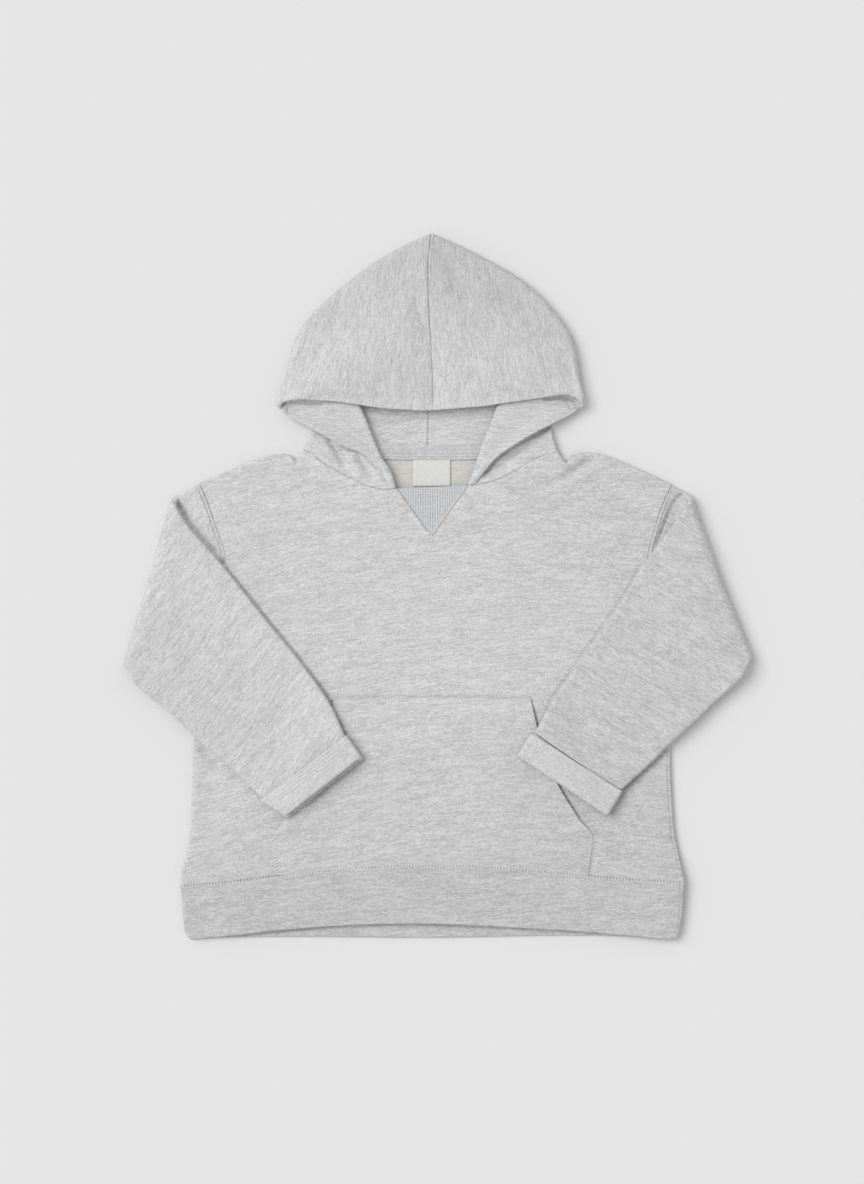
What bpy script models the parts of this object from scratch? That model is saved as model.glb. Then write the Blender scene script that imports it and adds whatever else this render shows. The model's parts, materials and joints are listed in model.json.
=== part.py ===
"""A toddler's pull-on hoodie of grey melange fleece, laid flat on its back.

Its front faces up, and both sleeves are folded in over it. The hood lies above the neck with
its crown folded forward and its two front edges turned back as lapels.
Lengths are in millimetres until a mesh is made. X runs across the garment, Y from the hem to the
hood and Z up. The origin is at the bottom centre of the whole object. Left is -X.
"""

import math
from collections import namedtuple

import bmesh
import bpy
import numpy as np

for old in list(bpy.data.objects):
    bpy.data.objects.remove(old)
garment = bpy.data.collections.new("toddler_hoodie")
bpy.context.scene.collection.children.link(garment)

MM = 0.001

# Cloth
BODY_WALL = 1.8
BAND_WALL = 2.4
CUFF_WALL = 1.6
HOOD_WALL = 2.2
TRIM_WALL = 1.0
SEAM_GAP = 0.3
LAYER_GAP = 0.3

# The body lies as two walls with a soft fold at each side and along each shoulder.
FOLD_RADIUS = 1.55
BODY_MIDDLE = BODY_WALL / 2 + FOLD_RADIUS + SEAM_GAP / 2
BODY_HEIGHT = 2 * BODY_MIDDLE
SWELL = 1.2
SWELL_REACH = 45.0
NECK_RISE = 1.0
NECK_REACH = 30.0
BAND_FOLD_RADIUS = 1.5
FOLD_ANGLES = np.radians((0, 40, 90))

# How finely the walls are divided
DENSE = np.linspace(0, 1, 60)
SIDE_RUN = 5
TUBE_RUN = 5
BACK_NECK_RUN = 7
BAND_RUN = 14
BAND_ROWS = np.linspace(0, 1, 5)
SHOULDER_SHARES = (0.012, 0.35, 0.62, 0.8, 0.87, 0.93)
POCKET_ACROSS = np.linspace(0, 1, 13)
POCKET_UP = np.array((0, 0.12, 0.22, 0.34, 0.46, 0.6, 0.8, 1))
SHARP_ANGLE = 50.0

# Outlines as they lie, in plan. Each runs upward or from left to right.
Point = namedtuple("Point", "x y")
SIDE = {
    "left": (
        Point(-201.0, -234.0),
        Point(-199.5, -223.0),
        Point(-195.5, -207.5),
        Point(-192.5, -178.5),
        Point(-191.5, -143.5),
        Point(-190.0, -100.5),
        Point(-187.5, -54.5),
    ),
    "right": (
        Point(193.0, -231.0),
        Point(191.5, -224.0),
        Point(188.0, -208.5),
        Point(185.0, -189.0),
        Point(183.0, -163.0),
        Point(181.5, -116.0),
        Point(180.0, -50.0),
    ),
}
ARMHOLE = {
    "left": (
        Point(-187.5, -54.5),
        Point(-175.0, -28.0),
        Point(-166.5, -1.5),
        Point(-165.0, 21.0),
        Point(-173.0, 47.5),
        Point(-180.5, 68.5),
        Point(-185.5, 80.5),
    ),
    "right": (
        Point(180.0, -50.0),
        Point(169.5, -25.0),
        Point(164.0, 1.0),
        Point(164.5, 24.0),
        Point(169.5, 44.0),
        Point(175.5, 63.0),
        Point(182.5, 79.5),
    ),
}
# From the armhole in to the side of the neck. The dip beside the neck is where the shoulder creases.
SHOULDER = {
    "left": (
        Point(-185.5, 80.5),
        Point(-156.0, 93.0),
        Point(-134.0, 101.0),
        Point(-116.0, 102.5),
        Point(-110.0, 98.5),
        Point(-106.0, 102.0),
        Point(-103.5, 107.5),
    ),
    "right": (
        Point(182.5, 79.5),
        Point(150.0, 94.5),
        Point(126.0, 103.5),
        Point(109.5, 103.5),
        Point(102.0, 97.0),
        Point(97.0, 99.5),
        Point(93.5, 107.0),
    ),
}
# From the side of the neck down to the V.
NECK = {
    "left": (
        Point(-103.5, 107.5),
        Point(-85.5, 94.0),
        Point(-72.5, 87.0),
        Point(-59.5, 80.5),
        Point(-45.0, 76.0),
        Point(-31.0, 76.0),
    ),
    "right": (
        Point(93.5, 107.0),
        Point(78.0, 99.5),
        Point(63.0, 91.5),
        Point(51.0, 85.0),
        Point(38.5, 80.5),
        Point(23.5, 78.5),
    ),
}
V_TIP = Point(-4.5, 39.0)
BACK_NECK = (
    Point(-103.5, 107.5),
    Point(-80.0, 102.0),
    Point(-45.0, 99.5),
    Point(-4.5, 99.0),
    Point(33.0, 99.5),
    Point(70.0, 102.0),
    Point(93.5, 107.0),
)
BAND_SEAM = (
    Point(-201.0, -234.0),
    Point(-171.5, -231.5),
    Point(-127.0, -226.5),
    Point(-89.5, -222.5),
    Point(-52.5, -219.5),
    Point(-4.5, -218.0),
    Point(39.0, -219.5),
    Point(76.5, -222.5),
    Point(117.0, -226.0),
    Point(151.0, -229.0),
    Point(193.0, -231.0),
)
FRONT_HEM = (
    Point(-193.0, -275.5),
    Point(-164.0, -273.0),
    Point(-123.0, -268.5),
    Point(-69.0, -264.5),
    Point(-4.5, -263.5),
    Point(62.0, -266.5),
    Point(114.0, -269.5),
    Point(158.5, -273.5),
    Point(184.5, -275.5),
)
BACK_HEM = (
    Point(-193.0, -276.0),
    Point(-157.0, -274.5),
    Point(-4.5, -274.5),
    Point(136.0, -273.5),
    Point(184.5, -276.0),
)
BAND_END = {
    "left": (
        Point(-193.0, -275.5),
        Point(-196.5, -271.5),
        Point(-198.5, -261.5),
        Point(-199.5, -246.5),
        Point(-201.0, -234.5),
    ),
    "right": (
        Point(184.5, -275.5),
        Point(188.0, -272.0),
        Point(190.0, -262.5),
        Point(191.5, -249.5),
        Point(193.0, -231.5),
    ),
}

# Pocket
POCKET_SIDE = {
    "left": (
        Point(-123.0, -225.5),
        Point(-126.0, -210.0),
        Point(-128.5, -196.5),
        Point(-120.5, -184.0),
        Point(-111.0, -169.5),
        Point(-102.0, -153.0),
        Point(-93.0, -132.0),
        Point(-85.5, -107.0),
        Point(-81.0, -89.0),
    ),
    "right": (
        Point(118.0, -225.5),
        Point(120.0, -210.0),
        Point(121.5, -196.0),
        Point(110.5, -182.0),
        Point(102.0, -169.0),
        Point(93.0, -153.0),
        Point(85.0, -133.0),
        Point(77.0, -107.5),
        Point(72.5, -88.0),
    ),
}
POCKET_TOP = (
    Point(-81.0, -89.0),
    Point(-45.0, -88.0),
    Point(-4.5, -87.0),
    Point(34.0, -87.5),
    Point(72.5, -88.0),
)
POCKET_OPENING = -192.0  # the openings start above this y
POCKET_LIFT = 0.8
POCKET_LIFT_REACH = 14.0
POCKET_TOP_ABOVE_FRONT = LAYER_GAP + BODY_WALL + POCKET_LIFT
POCKET_BEDDING = (6.0, 30.0)  # a sleeve leaves the pocket's height this far out, over this distance

# Neck trims
GUSSET_INSET = 1.3 * SEAM_GAP
GUSSET_ROWS = np.linspace(0, 0.97, 5)  # the tip is cut off just short of its point
TAPE_SPAN = (-51.0, 41.0)
TAPE_BELOW_SEAM = 0.5
TAPE_WIDTH = 11.0
TAPE_HEIGHT = HOOD_WALL + LAYER_GAP + TRIM_WALL / 2
LABEL_SPAN = (-19.0, 10.0)
LABEL_BOTTOM = 78.0
LABEL_HEIGHT = BODY_WALL + LAYER_GAP + TRIM_WALL / 2

# Sleeves, folded in over the front. The inner contour is each sleeve's upper edge and the outer
# one its under edge, from the fold to the turned-up end.
Sleeve = namedtuple("Sleeve", "fold_top fold_bottom bow inner outer end_inner end_outer")
Station = namedtuple("Station", "top under bent turned to_end")
SLEEVES = {
    "left": Sleeve(
        fold_top=Point(-208.0, 68.5),
        fold_bottom=Point(-246.5, -64.5),
        bow=1.5,
        inner=(
            Point(-207.5, 68.0),
            Point(-196.0, 48.5),
            Point(-182.0, 32.5),
            Point(-168.0, 16.5),
            Point(-136.0, -23.5),
            Point(-104.0, -63.0),
            Point(-82.5, -94.0),
            Point(-71.5, -118.0),
        ),
        outer=(
            Point(-245.5, -66.5),
            Point(-231.5, -80.0),
            Point(-217.5, -91.0),
            Point(-203.5, -103.0),
            Point(-191.0, -116.0),
            Point(-168.0, -136.0),
            Point(-135.0, -166.5),
        ),
        end_inner=Point(-60.5, -134.0),
        end_outer=Point(-116.5, -177.5),
    ),
    "right": Sleeve(
        fold_top=Point(199.0, 69.5),
        fold_bottom=Point(247.5, -57.5),
        bow=2.5,
        inner=(
            Point(198.0, 69.5),
            Point(186.0, 54.0),
            Point(172.0, 34.5),
            Point(160.0, 16.5),
            Point(142.5, -13.5),
            Point(124.5, -39.5),
            Point(106.5, -65.0),
            Point(88.5, -91.0),
            Point(75.5, -114.0),
        ),
        outer=(
            Point(246.5, -60.5),
            Point(234.0, -74.0),
            Point(220.0, -87.0),
            Point(204.0, -102.0),
            Point(192.0, -113.0),
            Point(178.0, -126.0),
            Point(166.0, -138.0),
            Point(141.5, -160.0),
        ),
        end_inner=Point(63.5, -133.0),
        end_outer=Point(130.5, -177.5),
    ),
}
SLEEVE_FOLD_RADIUS = BODY_MIDDLE - BODY_WALL / 2
FOLD_AXIS_SHOULDER = 7.1  # height of the axis that each sleeve folds about
FOLD_AXIS_ELBOW = 6.3
ELBOW_ROUNDING = 5.0
ELBOW_ROUNDING_REACH = 12.0
BOW_REACH = 60.0
FOLD_SHARES = np.linspace(-1, 1, 7)
SLEEVE_SHARES = (0.08, 0.2, 0.4, 0.6, 0.8, 0.92, 1.0)
SLEEVE_LENGTH = 130.0
SETTLE = 45.0  # how far past its fold a sleeve comes down to rest
REST_CLEARANCE = 0.5
OVERHANG = 45.0
OVERHANG_HEIGHT = 2.5
CUFF_STEP = (BODY_WALL + CUFF_WALL) / 2 + 2 * LAYER_GAP
CUFF_STEP_REACH = 25.0
CUFF_OVERLAP = 1.5
CUFF_RUN = 4
CUFF_FOLD_ANGLES = np.radians((0, 45, 90, 135, 180))

# Hood. Each row is one section, from the front edge to the centre back. Lapel rows run from the
# neck seam to the corner, and crown rows from the corner to the centre seam.
Lapel = namedtuple("Lapel", "edge_x edge_y roll_x roll_y neck_x neck_y back_y strip")
Crown = namedtuple("Crown", "edge_x edge_y side_x side_y back_y")
Level = namedtuple("Level", "edge side_low side_high crown folded turn")
LAPELS = {
    "left": (
        Lapel(-37.0, 77.5, -32.5, 76.5, -103.5, 107.5, 99.0, 2.0),
        Lapel(-46.5, 91.5, -36.5, 90.5, -102.0, 111.0, 107.0, 5.0),
        Lapel(-57.5, 103.0, -43.0, 100.0, -100.0, 115.5, 114.0, 7.0),
        Lapel(-73.0, 109.0, -48.5, 112.5, -97.5, 120.0, 121.0, 9.0),
        Lapel(-90.0, 118.5, -53.5, 125.0, -96.5, 126.5, 128.5, 10.0),
        Lapel(-107.0, 127.5, -57.5, 135.0, -98.5, 134.0, 135.5, 10.0),
        Lapel(-118.0, 133.5, -62.0, 142.5, -102.5, 140.5, 142.0, 9.0),
    ),
    "right": (
        Lapel(28.5, 79.5, 24.5, 78.5, 93.5, 107.0, 99.0, 2.0),
        Lapel(36.5, 89.5, 27.5, 89.0, 92.0, 111.0, 107.0, 5.0),
        Lapel(45.5, 100.0, 31.0, 100.0, 90.5, 115.5, 114.0, 7.0),
        Lapel(60.5, 110.5, 35.0, 111.5, 89.5, 120.0, 121.0, 9.0),
        Lapel(76.0, 119.5, 40.0, 124.0, 89.0, 126.5, 128.5, 10.0),
        Lapel(92.5, 128.0, 44.0, 134.0, 90.0, 134.0, 135.5, 10.0),
        Lapel(105.5, 135.0, 48.0, 142.5, 93.0, 140.5, 142.0, 9.0),
    ),
}
CROWNS = {
    "left": (
        Crown(-121.5, 141.3, -125.0, 140.5, 148.0),
        Crown(-117.5, 144.5, -125.0, 144.0, 153.5),
        Crown(-107.0, 145.0, -123.5, 148.0, 159.0),
        Crown(-95.5, 144.5, -120.5, 155.0, 165.5),
        Crown(-80.0, 143.5, -117.0, 167.0, 174.5),
        Crown(-62.0, 141.0, -114.0, 182.5, 187.0),
        Crown(-45.0, 138.5, -109.0, 197.5, 202.0),
        Crown(-32.5, 137.5, -95.0, 215.0, 217.5),
        Crown(-22.0, 137.0, -75.0, 233.0, 232.5),
        Crown(-13.5, 136.5, -49.0, 252.5, 246.5),
        Crown(-8.0, 136.5, -27.5, 265.0, 256.5),
        Crown(-4.0, 137.0, -5.0, 275.5, 263.5),
    ),
    "right": (
        Crown(111.5, 142.8, 115.0, 142.0, 148.0),
        Crown(109.0, 145.5, 114.5, 145.0, 153.5),
        Crown(100.0, 148.5, 113.5, 150.5, 159.0),
        Crown(88.5, 147.5, 111.5, 157.5, 165.5),
        Crown(72.0, 145.0, 109.5, 170.0, 174.5),
        Crown(54.0, 142.5, 107.5, 184.0, 187.0),
        Crown(37.0, 140.0, 103.5, 196.5, 202.0),
        Crown(24.5, 139.0, 89.5, 216.5, 217.5),
        Crown(14.5, 138.0, 69.0, 236.5, 232.5),
        Crown(6.0, 137.5, 40.0, 254.0, 246.5),
        Crown(0.5, 137.0, 18.5, 265.0, 256.5),
        Crown(-4.0, 137.0, -5.0, 275.5, 263.5),
    ),
}
CROWN_LEVELS = (
    Level(edge=10.5, side_low=7.2, side_high=11.4, crown=0.0, folded=1.0, turn=95),
    Level(edge=12.0, side_low=7.2, side_high=11.6, crown=0.0, folded=1.0, turn=180),
    Level(edge=12.6, side_low=6.8, side_high=11.6, crown=0.4, folded=1.0, turn=180),
    Level(edge=13.4, side_low=5.8, side_high=11.4, crown=1.5, folded=0.85, turn=180),
    Level(edge=14.0, side_low=4.2, side_high=11.2, crown=3.0, folded=0.55, turn=180),
    Level(edge=14.4, side_low=2.4, side_high=11.0, crown=4.5, folded=0.2, turn=180),
    Level(edge=14.4, side_low=1.1, side_high=11.0, crown=6.0, folded=0.0, turn=180),
    Level(edge=14.2, side_low=1.1, side_high=10.6, crown=7.0, folded=0.0, turn=180),
    Level(edge=13.8, side_low=1.1, side_high=10.0, crown=7.4, folded=0.0, turn=180),
    Level(edge=13.4, side_low=1.1, side_high=9.2, crown=7.0, folded=0.0, turn=180),
    Level(edge=12.8, side_low=1.1, side_high=8.2, crown=6.0, folded=0.0, turn=180),
    Level(edge=12.0, side_low=1.1, side_high=7.2, crown=4.4, folded=0.0, turn=180),
)
BACK_LEVEL = HOOD_WALL / 2
NECK_FRONT_LEVEL = 4.3
ROLL_LOW = 5.5
ROLL_HIGH = 9.4
ROLL_SEWN = 8.2
V_SHARE = 0.12
LAPEL_LEVEL = 7.8
ROLL_UNDER_CROWN = 0.45  # of the way from the side to the centre back
NECK_UNDER_CROWN = 0.16
CROWN_RUN, ROLL_RUN, NECK_RUN, BACK_RUN, ARC_STEPS = 5, 3, 5, 4, 4
NECK_SHARES = np.linspace(0.03, 1, NECK_RUN + 1)
CENTRE_SEAM = (
    Point(-4.0, 99.0),
    Point(-3.6, 138.0),
    Point(-5.0, 187.0),
    Point(-7.0, 223.0),
    Point(-7.0, 256.0),
    Point(-5.0, 276.0),
)

GREY = (0.62, 0.62, 0.62, 1)
GREY_BLUE = (0.52, 0.56, 0.59, 1)
OFF_WHITE = (0.78, 0.77, 0.74, 1)


# Curves


def smooth(share):
    share = np.clip(share, 0, 1)
    return share * share * (3 - 2 * share)


def curve(points, shares):
    """Points at these shares of the length of a smooth curve through the given ones."""
    points = np.array(points, float)
    steps = np.linalg.norm(np.diff(points, axis=0), axis=1)
    knots = np.concatenate([[0], np.cumsum(steps)])
    slopes = np.gradient(points, knots, axis=0)
    where = np.clip(shares, 0, 1) * knots[-1]
    k = np.clip(np.searchsorted(knots, where, side="right") - 1, 0, len(steps) - 1)
    h = steps[k][:, None]
    t = ((where - knots[k]) / steps[k])[:, None]
    start = (1 + 2 * t) * (1 - t) ** 2 * points[k] + t * (1 - t) ** 2 * h * slopes[k]
    return start + t * t * (3 - 2 * t) * points[k + 1] + t * t * (t - 1) * h * slopes[k + 1]


def length_of(points):
    return np.linalg.norm(np.diff(curve(points, DENSE), axis=0), axis=1).sum()


def distance(places, line):
    """How far each place is from a line of points, in plan."""
    line = np.asarray(line, float)
    a = line[:-1]
    along = line[1:] - a
    from_a = places[..., None, :2] - a
    share = np.clip((from_a * along).sum(-1) / np.maximum((along**2).sum(-1), 1e-9), 0, 1)
    return np.linalg.norm(from_a - share[..., None] * along, axis=-1).min(-1)


def inside(places, outline):
    """Whether each place is inside a closed outline, in plan."""
    outline = np.asarray(outline, float)
    ahead = np.roll(outline, -1, axis=0)
    x = places[..., 0, None]
    y = places[..., 1, None]
    spans = (outline[:, 1] > y) != (ahead[:, 1] > y)
    rise = np.where(ahead[:, 1] == outline[:, 1], 1, ahead[:, 1] - outline[:, 1])
    crossing = outline[:, 0] + (y - outline[:, 1]) / rise * (ahead[:, 0] - outline[:, 0])
    return (spans & (x < crossing)).sum(-1) % 2 == 1


def patch(bottom, top, left, right, across, up):
    """A Coons patch: a grid of rows and columns between four edges that meet at their ends."""
    u = np.asarray(across)[None, :, None]
    v = np.asarray(up)[:, None, None]
    corners = (1 - u) * (1 - v) * bottom[0] + u * (1 - v) * bottom[-1]
    corners = corners + (1 - u) * v * top[0] + u * v * top[-1]
    return (1 - v) * bottom + v * top + (1 - u) * left[:, None] + u * right[:, None] - corners


def fold_steps(length, radius):
    """Shares of a length at which it turns round a fold of this radius."""
    return radius * (1 - np.cos(FOLD_ANGLES)) / length


def between_folds(length, radius, steps):
    """Shares along a line that has a fold at each end."""
    ends = fold_steps(length, radius)
    return np.concatenate([ends[:-1], np.linspace(ends[-1], 1 - ends[-1], steps + 1), 1 - ends[-2::-1]])


# Meshes


def material(name, colour, roughness):
    made = bpy.data.materials.new(name)
    made.use_nodes = True
    shader = made.node_tree.nodes["Principled BSDF"]
    shader.inputs["Base Color"].default_value = colour
    shader.inputs["Roughness"].default_value = roughness
    made.diffuse_color = colour
    return made


def normals_of(grid, loop, square):
    """Unit normals of a grid. square names the rims whose end face stands along an axis, or the
    corners that lie between two."""
    if loop:
        along = np.roll(grid, -1, axis=1) - np.roll(grid, 1, axis=1)
    else:
        along = np.gradient(grid, axis=1)
    up = np.gradient(grid, axis=0)
    normals = np.cross(along, up)
    for where, axis, *second in square:
        rim = along if isinstance(where[0], int) else up
        squared = np.cross(second or rim[where], axis).reshape(normals[where].shape)
        turned = np.where((squared * normals[where]).sum(-1, keepdims=True) < 0, -1, 1)
        normals[where] = squared * turned
    return normals / np.linalg.norm(normals, axis=-1, keepdims=True)


def cloth(name, grid, wall, finish, loop=False, square=()):
    """A closed wall of even thickness about a grid of points at the middle of the cloth."""
    normals = normals_of(grid, loop, square)
    rows, columns = grid.shape[:2]
    mesh = bmesh.new()
    sides = []
    for away in (0.5, -0.5):
        points = (grid + away * wall * normals) * MM
        sides.append([[mesh.verts.new(point) for point in row] for row in points])
    last = columns if loop else columns - 1
    for side in sides:
        for i in range(rows - 1):
            for j in range(last):
                k = (j + 1) % columns
                mesh.faces.new((side[i][j], side[i][k], side[i + 1][k], side[i + 1][j]))
    outer, inner = sides
    for i in (0, rows - 1):
        for j in range(last):
            k = (j + 1) % columns
            mesh.faces.new((outer[i][j], outer[i][k], inner[i][k], inner[i][j]))
    for j in () if loop else (0, columns - 1):
        for i in range(rows - 1):
            mesh.faces.new((outer[i][j], outer[i + 1][j], inner[i + 1][j], inner[i][j]))
    bmesh.ops.recalc_face_normals(mesh, faces=mesh.faces)
    if mesh.calc_volume(signed=True) < 0:
        bmesh.ops.reverse_faces(mesh, faces=mesh.faces)
    data = bpy.data.meshes.new(name)
    mesh.to_mesh(data)
    mesh.free()
    data.shade_smooth()
    data.set_sharp_from_angle(angle=math.radians(SHARP_ANGLE))
    data.materials.append(finish)
    made = bpy.data.objects.new(name, data)
    garment.objects.link(made)
    return made


FIRST_ROW = (0, slice(None))
LAST_ROW = (-1, slice(None))
FIRST_COLUMN = (slice(None), 0)
LAST_COLUMN = (slice(None), -1)
ALONG_X, ALONG_Y, ALONG_Z = np.eye(3)


# Body


def mid_line(points, shift_x=0.0, shift_y=0.0):
    """The middle of the cloth along an outline that shows the cloth's outer side."""
    return np.array(points, float) + (shift_x, shift_y)


def body_edges():
    """The four kinds of outline at the middle of the body's cloth, for each side."""
    edges = {}
    for side, inward in (("left", 1), ("right", -1)):
        seam = mid_line(SIDE[side], inward * BODY_WALL / 2)
        shoulder = mid_line(SHOULDER[side], 0, -BODY_WALL / 2)
        armhole = mid_line(ARMHOLE[side])
        armhole[0] = seam[-1]
        armhole[-1] = shoulder[0]
        neck = mid_line(NECK[side])
        neck[0] = shoulder[-1]
        edges[side] = (seam, armhole, shoulder, neck)
    return edges


EDGES = body_edges()
BODY_FOLDS = [curve(line, DENSE) for side in EDGES.values() for line in (side[0], side[2])]
NECK_LINES = [curve(side[3], DENSE) for side in EDGES.values()]


def fold_profile(reach, radius):
    """Height gained by cloth that comes round a fold, at this distance in from it."""
    return radius * np.sqrt(1 - (1 - np.clip(reach / radius, 0, 1)) ** 2)


def body_height(places, front):
    """Middle of the front or back wall at these places."""
    reach = np.min([distance(places, line) for line in BODY_FOLDS], axis=0)
    rise = SEAM_GAP / 2 + fold_profile(reach, FOLD_RADIUS)
    if not front:
        return BODY_MIDDLE - rise
    near_neck = np.min([distance(places, line) for line in NECK_LINES], axis=0)
    lift = NECK_RISE * np.exp(-((near_neck / NECK_REACH) ** 2))
    return BODY_MIDDLE + rise + (SWELL + lift) * smooth(reach / SWELL_REACH)


def with_height(plan, height):
    return np.concatenate([plan, np.broadcast_to(height, plan.shape[:2])[..., None]], axis=2)


def seam_y(x):
    """Height of the band seam in plan."""
    line = curve(BAND_SEAM, DENSE)
    return np.interp(x, line[:, 0], line[:, 1])


def along_seam(start, end, shares, shift=0.0):
    x = start + (end - start) * np.asarray(shares)
    return np.column_stack([x, seam_y(x) + shift])


def body_rows(side):
    """Points up the side seam and the armhole."""
    seam, armhole = EDGES[side][:2]
    up_side = curve(seam, np.linspace(0, 1, SIDE_RUN, endpoint=False))
    return np.concatenate([up_side, curve(armhole, armhole_shares(side))])


def armhole_shares(side):
    return between_folds(length_of(EDGES[side][1]), FOLD_RADIUS, TUBE_RUN)


def shoulder_points(side):
    shoulder = EDGES[side][2]
    return curve(shoulder, (0, fold_steps(length_of(shoulder), FOLD_RADIUS)[1], *SHOULDER_SHARES))


def panel(top, front):
    left, right = body_rows("left"), body_rows("right")
    across = (top[:, 0] - top[0, 0]) / (top[-1, 0] - top[0, 0])
    up = (left[:, 1] - left[0, 1]) / (left[-1, 1] - left[0, 1])
    seam = along_seam(left[0, 0], right[0, 0], across)
    left[0], right[0] = seam[0], seam[-1]
    plan = patch(seam, top, left, right, across, up)
    return with_height(plan, body_height(plan, front))


SHOULDER_POINTS = len(SHOULDER_SHARES) + 2
BODY_RIMS = (
    (FIRST_ROW, ALONG_Y),
    (LAST_ROW, ALONG_Y),
    ((-1, slice(0, SHOULDER_POINTS + 1)), ALONG_Z),
    ((-1, slice(-SHOULDER_POINTS - 1, None)), ALONG_Z),
    (FIRST_COLUMN, ALONG_X),
    (LAST_COLUMN, ALONG_X),
    ((slice(0, SIDE_RUN + 1), 0), ALONG_Z),
    ((slice(0, SIDE_RUN + 1), -1), ALONG_Z),
    ((SIDE_RUN, 0), ALONG_Z, (1, -1, 0)),
    ((SIDE_RUN, -1), ALONG_Z, (1, 1, 0)),
    ((-1, 0), ALONG_Z, ALONG_X),
    ((-1, -1), ALONG_Z, ALONG_X),
)


def body_front(finish):
    tops = {}
    for side in EDGES:
        neck = EDGES[side][3]
        shares = np.concatenate([fold_steps(length_of(neck), FOLD_RADIUS)[:-1], NECK_SHARES])
        into_v = curve([neck[-1], V_TIP], (0.5,))
        tops[side] = np.concatenate([shoulder_points(side), curve(neck, shares), into_v])
    top = np.concatenate([tops["left"], [V_TIP], tops["right"][::-1]])
    return cloth("body_front", panel(top, True), BODY_WALL, finish, square=BODY_RIMS)


def body_back(finish):
    line = [EDGES["left"][3][0], *BACK_NECK[1:-1], EDGES["right"][3][0]]
    neck = curve(line, between_folds(length_of(line), FOLD_RADIUS, BACK_NECK_RUN))
    top = np.concatenate([shoulder_points("left"), neck, shoulder_points("right")[::-1]])
    return cloth("body_back", panel(top, False), BODY_WALL, finish, square=BODY_RIMS)


def hem_band(name, hem, front, finish):
    ends = {}
    for side, inward in (("left", 1), ("right", -1)):
        ends[side] = curve(mid_line(BAND_END[side], inward * BAND_WALL / 2), BAND_ROWS)
    start, end = ends["left"][-1][0], ends["right"][-1][0]
    across = between_folds(end - start, BAND_FOLD_RADIUS, BAND_RUN)
    seam = along_seam(start, end, across, -1.5 * SEAM_GAP)
    ends["left"][-1], ends["right"][-1] = seam[0], seam[-1]
    edge = np.array(hem, float)
    ends["left"][0] = edge[0] = (ends["left"][0][0], edge[0][1])
    ends["right"][0] = edge[-1] = (ends["right"][0][0], edge[-1][1])
    plan = patch(curve(edge, across), seam, ends["left"], ends["right"], across, BAND_ROWS)
    reach = np.min([distance(plan, line) for line in ends.values()], axis=0)
    rise = SEAM_GAP / 2 + fold_profile(reach, BAND_FOLD_RADIUS)
    middle = BAND_WALL / 2 + BAND_FOLD_RADIUS + SEAM_GAP / 2
    height = middle + rise + SWELL * smooth(reach / SWELL_REACH) if front else middle - rise
    square = (
        (FIRST_ROW, ALONG_Y),
        (LAST_ROW, ALONG_Y),
        (FIRST_COLUMN, ALONG_Z),
        (LAST_COLUMN, ALONG_Z),
    )
    return cloth(name, with_height(plan, height), BAND_WALL, finish, square=square)


def pocket(finish):
    left, right = (curve(POCKET_SIDE[side], POCKET_UP) for side in ("left", "right"))
    bottom = along_seam(left[0, 0], right[0, 0], POCKET_ACROSS)
    left[0], right[0] = bottom[0], bottom[-1]
    plan = patch(bottom, curve(POCKET_TOP, POCKET_ACROSS), left, right, POCKET_ACROSS, POCKET_UP)
    height = body_height(plan, True) + BODY_WALL + LAYER_GAP + pocket_lift(plan)
    return cloth("pocket", with_height(plan, height), BODY_WALL, finish)


def pocket_lift(places):
    """The cloth stands a little open along the two slanted edges."""
    openings = [[p for p in POCKET_SIDE[side] if p.y > POCKET_OPENING] for side in POCKET_SIDE]
    reach = np.min([distance(places, line) for line in openings], axis=0)
    return POCKET_LIFT * (1 - smooth(reach / POCKET_LIFT_REACH))


def neck_gusset(finish):
    corners = np.array([NECK["left"][-1], NECK["right"][-1], V_TIP], float)
    sides = np.linalg.norm(np.roll(corners, -1, axis=0) - np.roll(corners, 1, axis=0), axis=1)
    centre = (corners * sides[:, None]).sum(0) / sides.sum()
    edge, area = corners[1] - corners[0], corners[2] - corners[0]
    inradius = abs(edge[0] * area[1] - edge[1] * area[0]) / sides.sum()
    left, right, tip = centre + (corners - centre) * (1 - GUSSET_INSET / inradius)
    down = GUSSET_ROWS[:, None, None]
    over = np.linspace(0, 1, 5)[None, :, None]
    plan = (1 - down) * ((1 - over) * left + over * right) + down * tip
    grid = with_height(plan, body_height(plan, True))
    return cloth("neck_gusset", grid, BODY_WALL, finish, square=((FIRST_ROW, ALONG_Y),))


def neck_tape(finish):
    over = np.linspace(0, 1, 11)
    xs = TAPE_SPAN[0] + (TAPE_SPAN[1] - TAPE_SPAN[0]) * over
    line = curve(BACK_NECK, DENSE)
    seam = np.interp(xs, line[:, 0], line[:, 1])
    rows = (-TAPE_BELOW_SEAM, TAPE_WIDTH / 2, TAPE_WIDTH)
    plan = np.stack([np.stack([xs, seam + up], axis=1) for up in rows])
    return cloth("neck_tape", with_height(plan, TAPE_HEIGHT), TRIM_WALL, finish)


def neck_label(finish):
    xs = np.linspace(*LABEL_SPAN, 5)
    ys = np.linspace(LABEL_BOTTOM, BACK_NECK[3].y - TAPE_BELOW_SEAM - SEAM_GAP, 4)
    plan = np.stack([np.stack([xs, np.full(len(xs), y)], axis=1) for y in ys])
    return cloth("neck_label", with_height(plan, LABEL_HEIGHT), TRIM_WALL, finish)


# Sleeves


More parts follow.
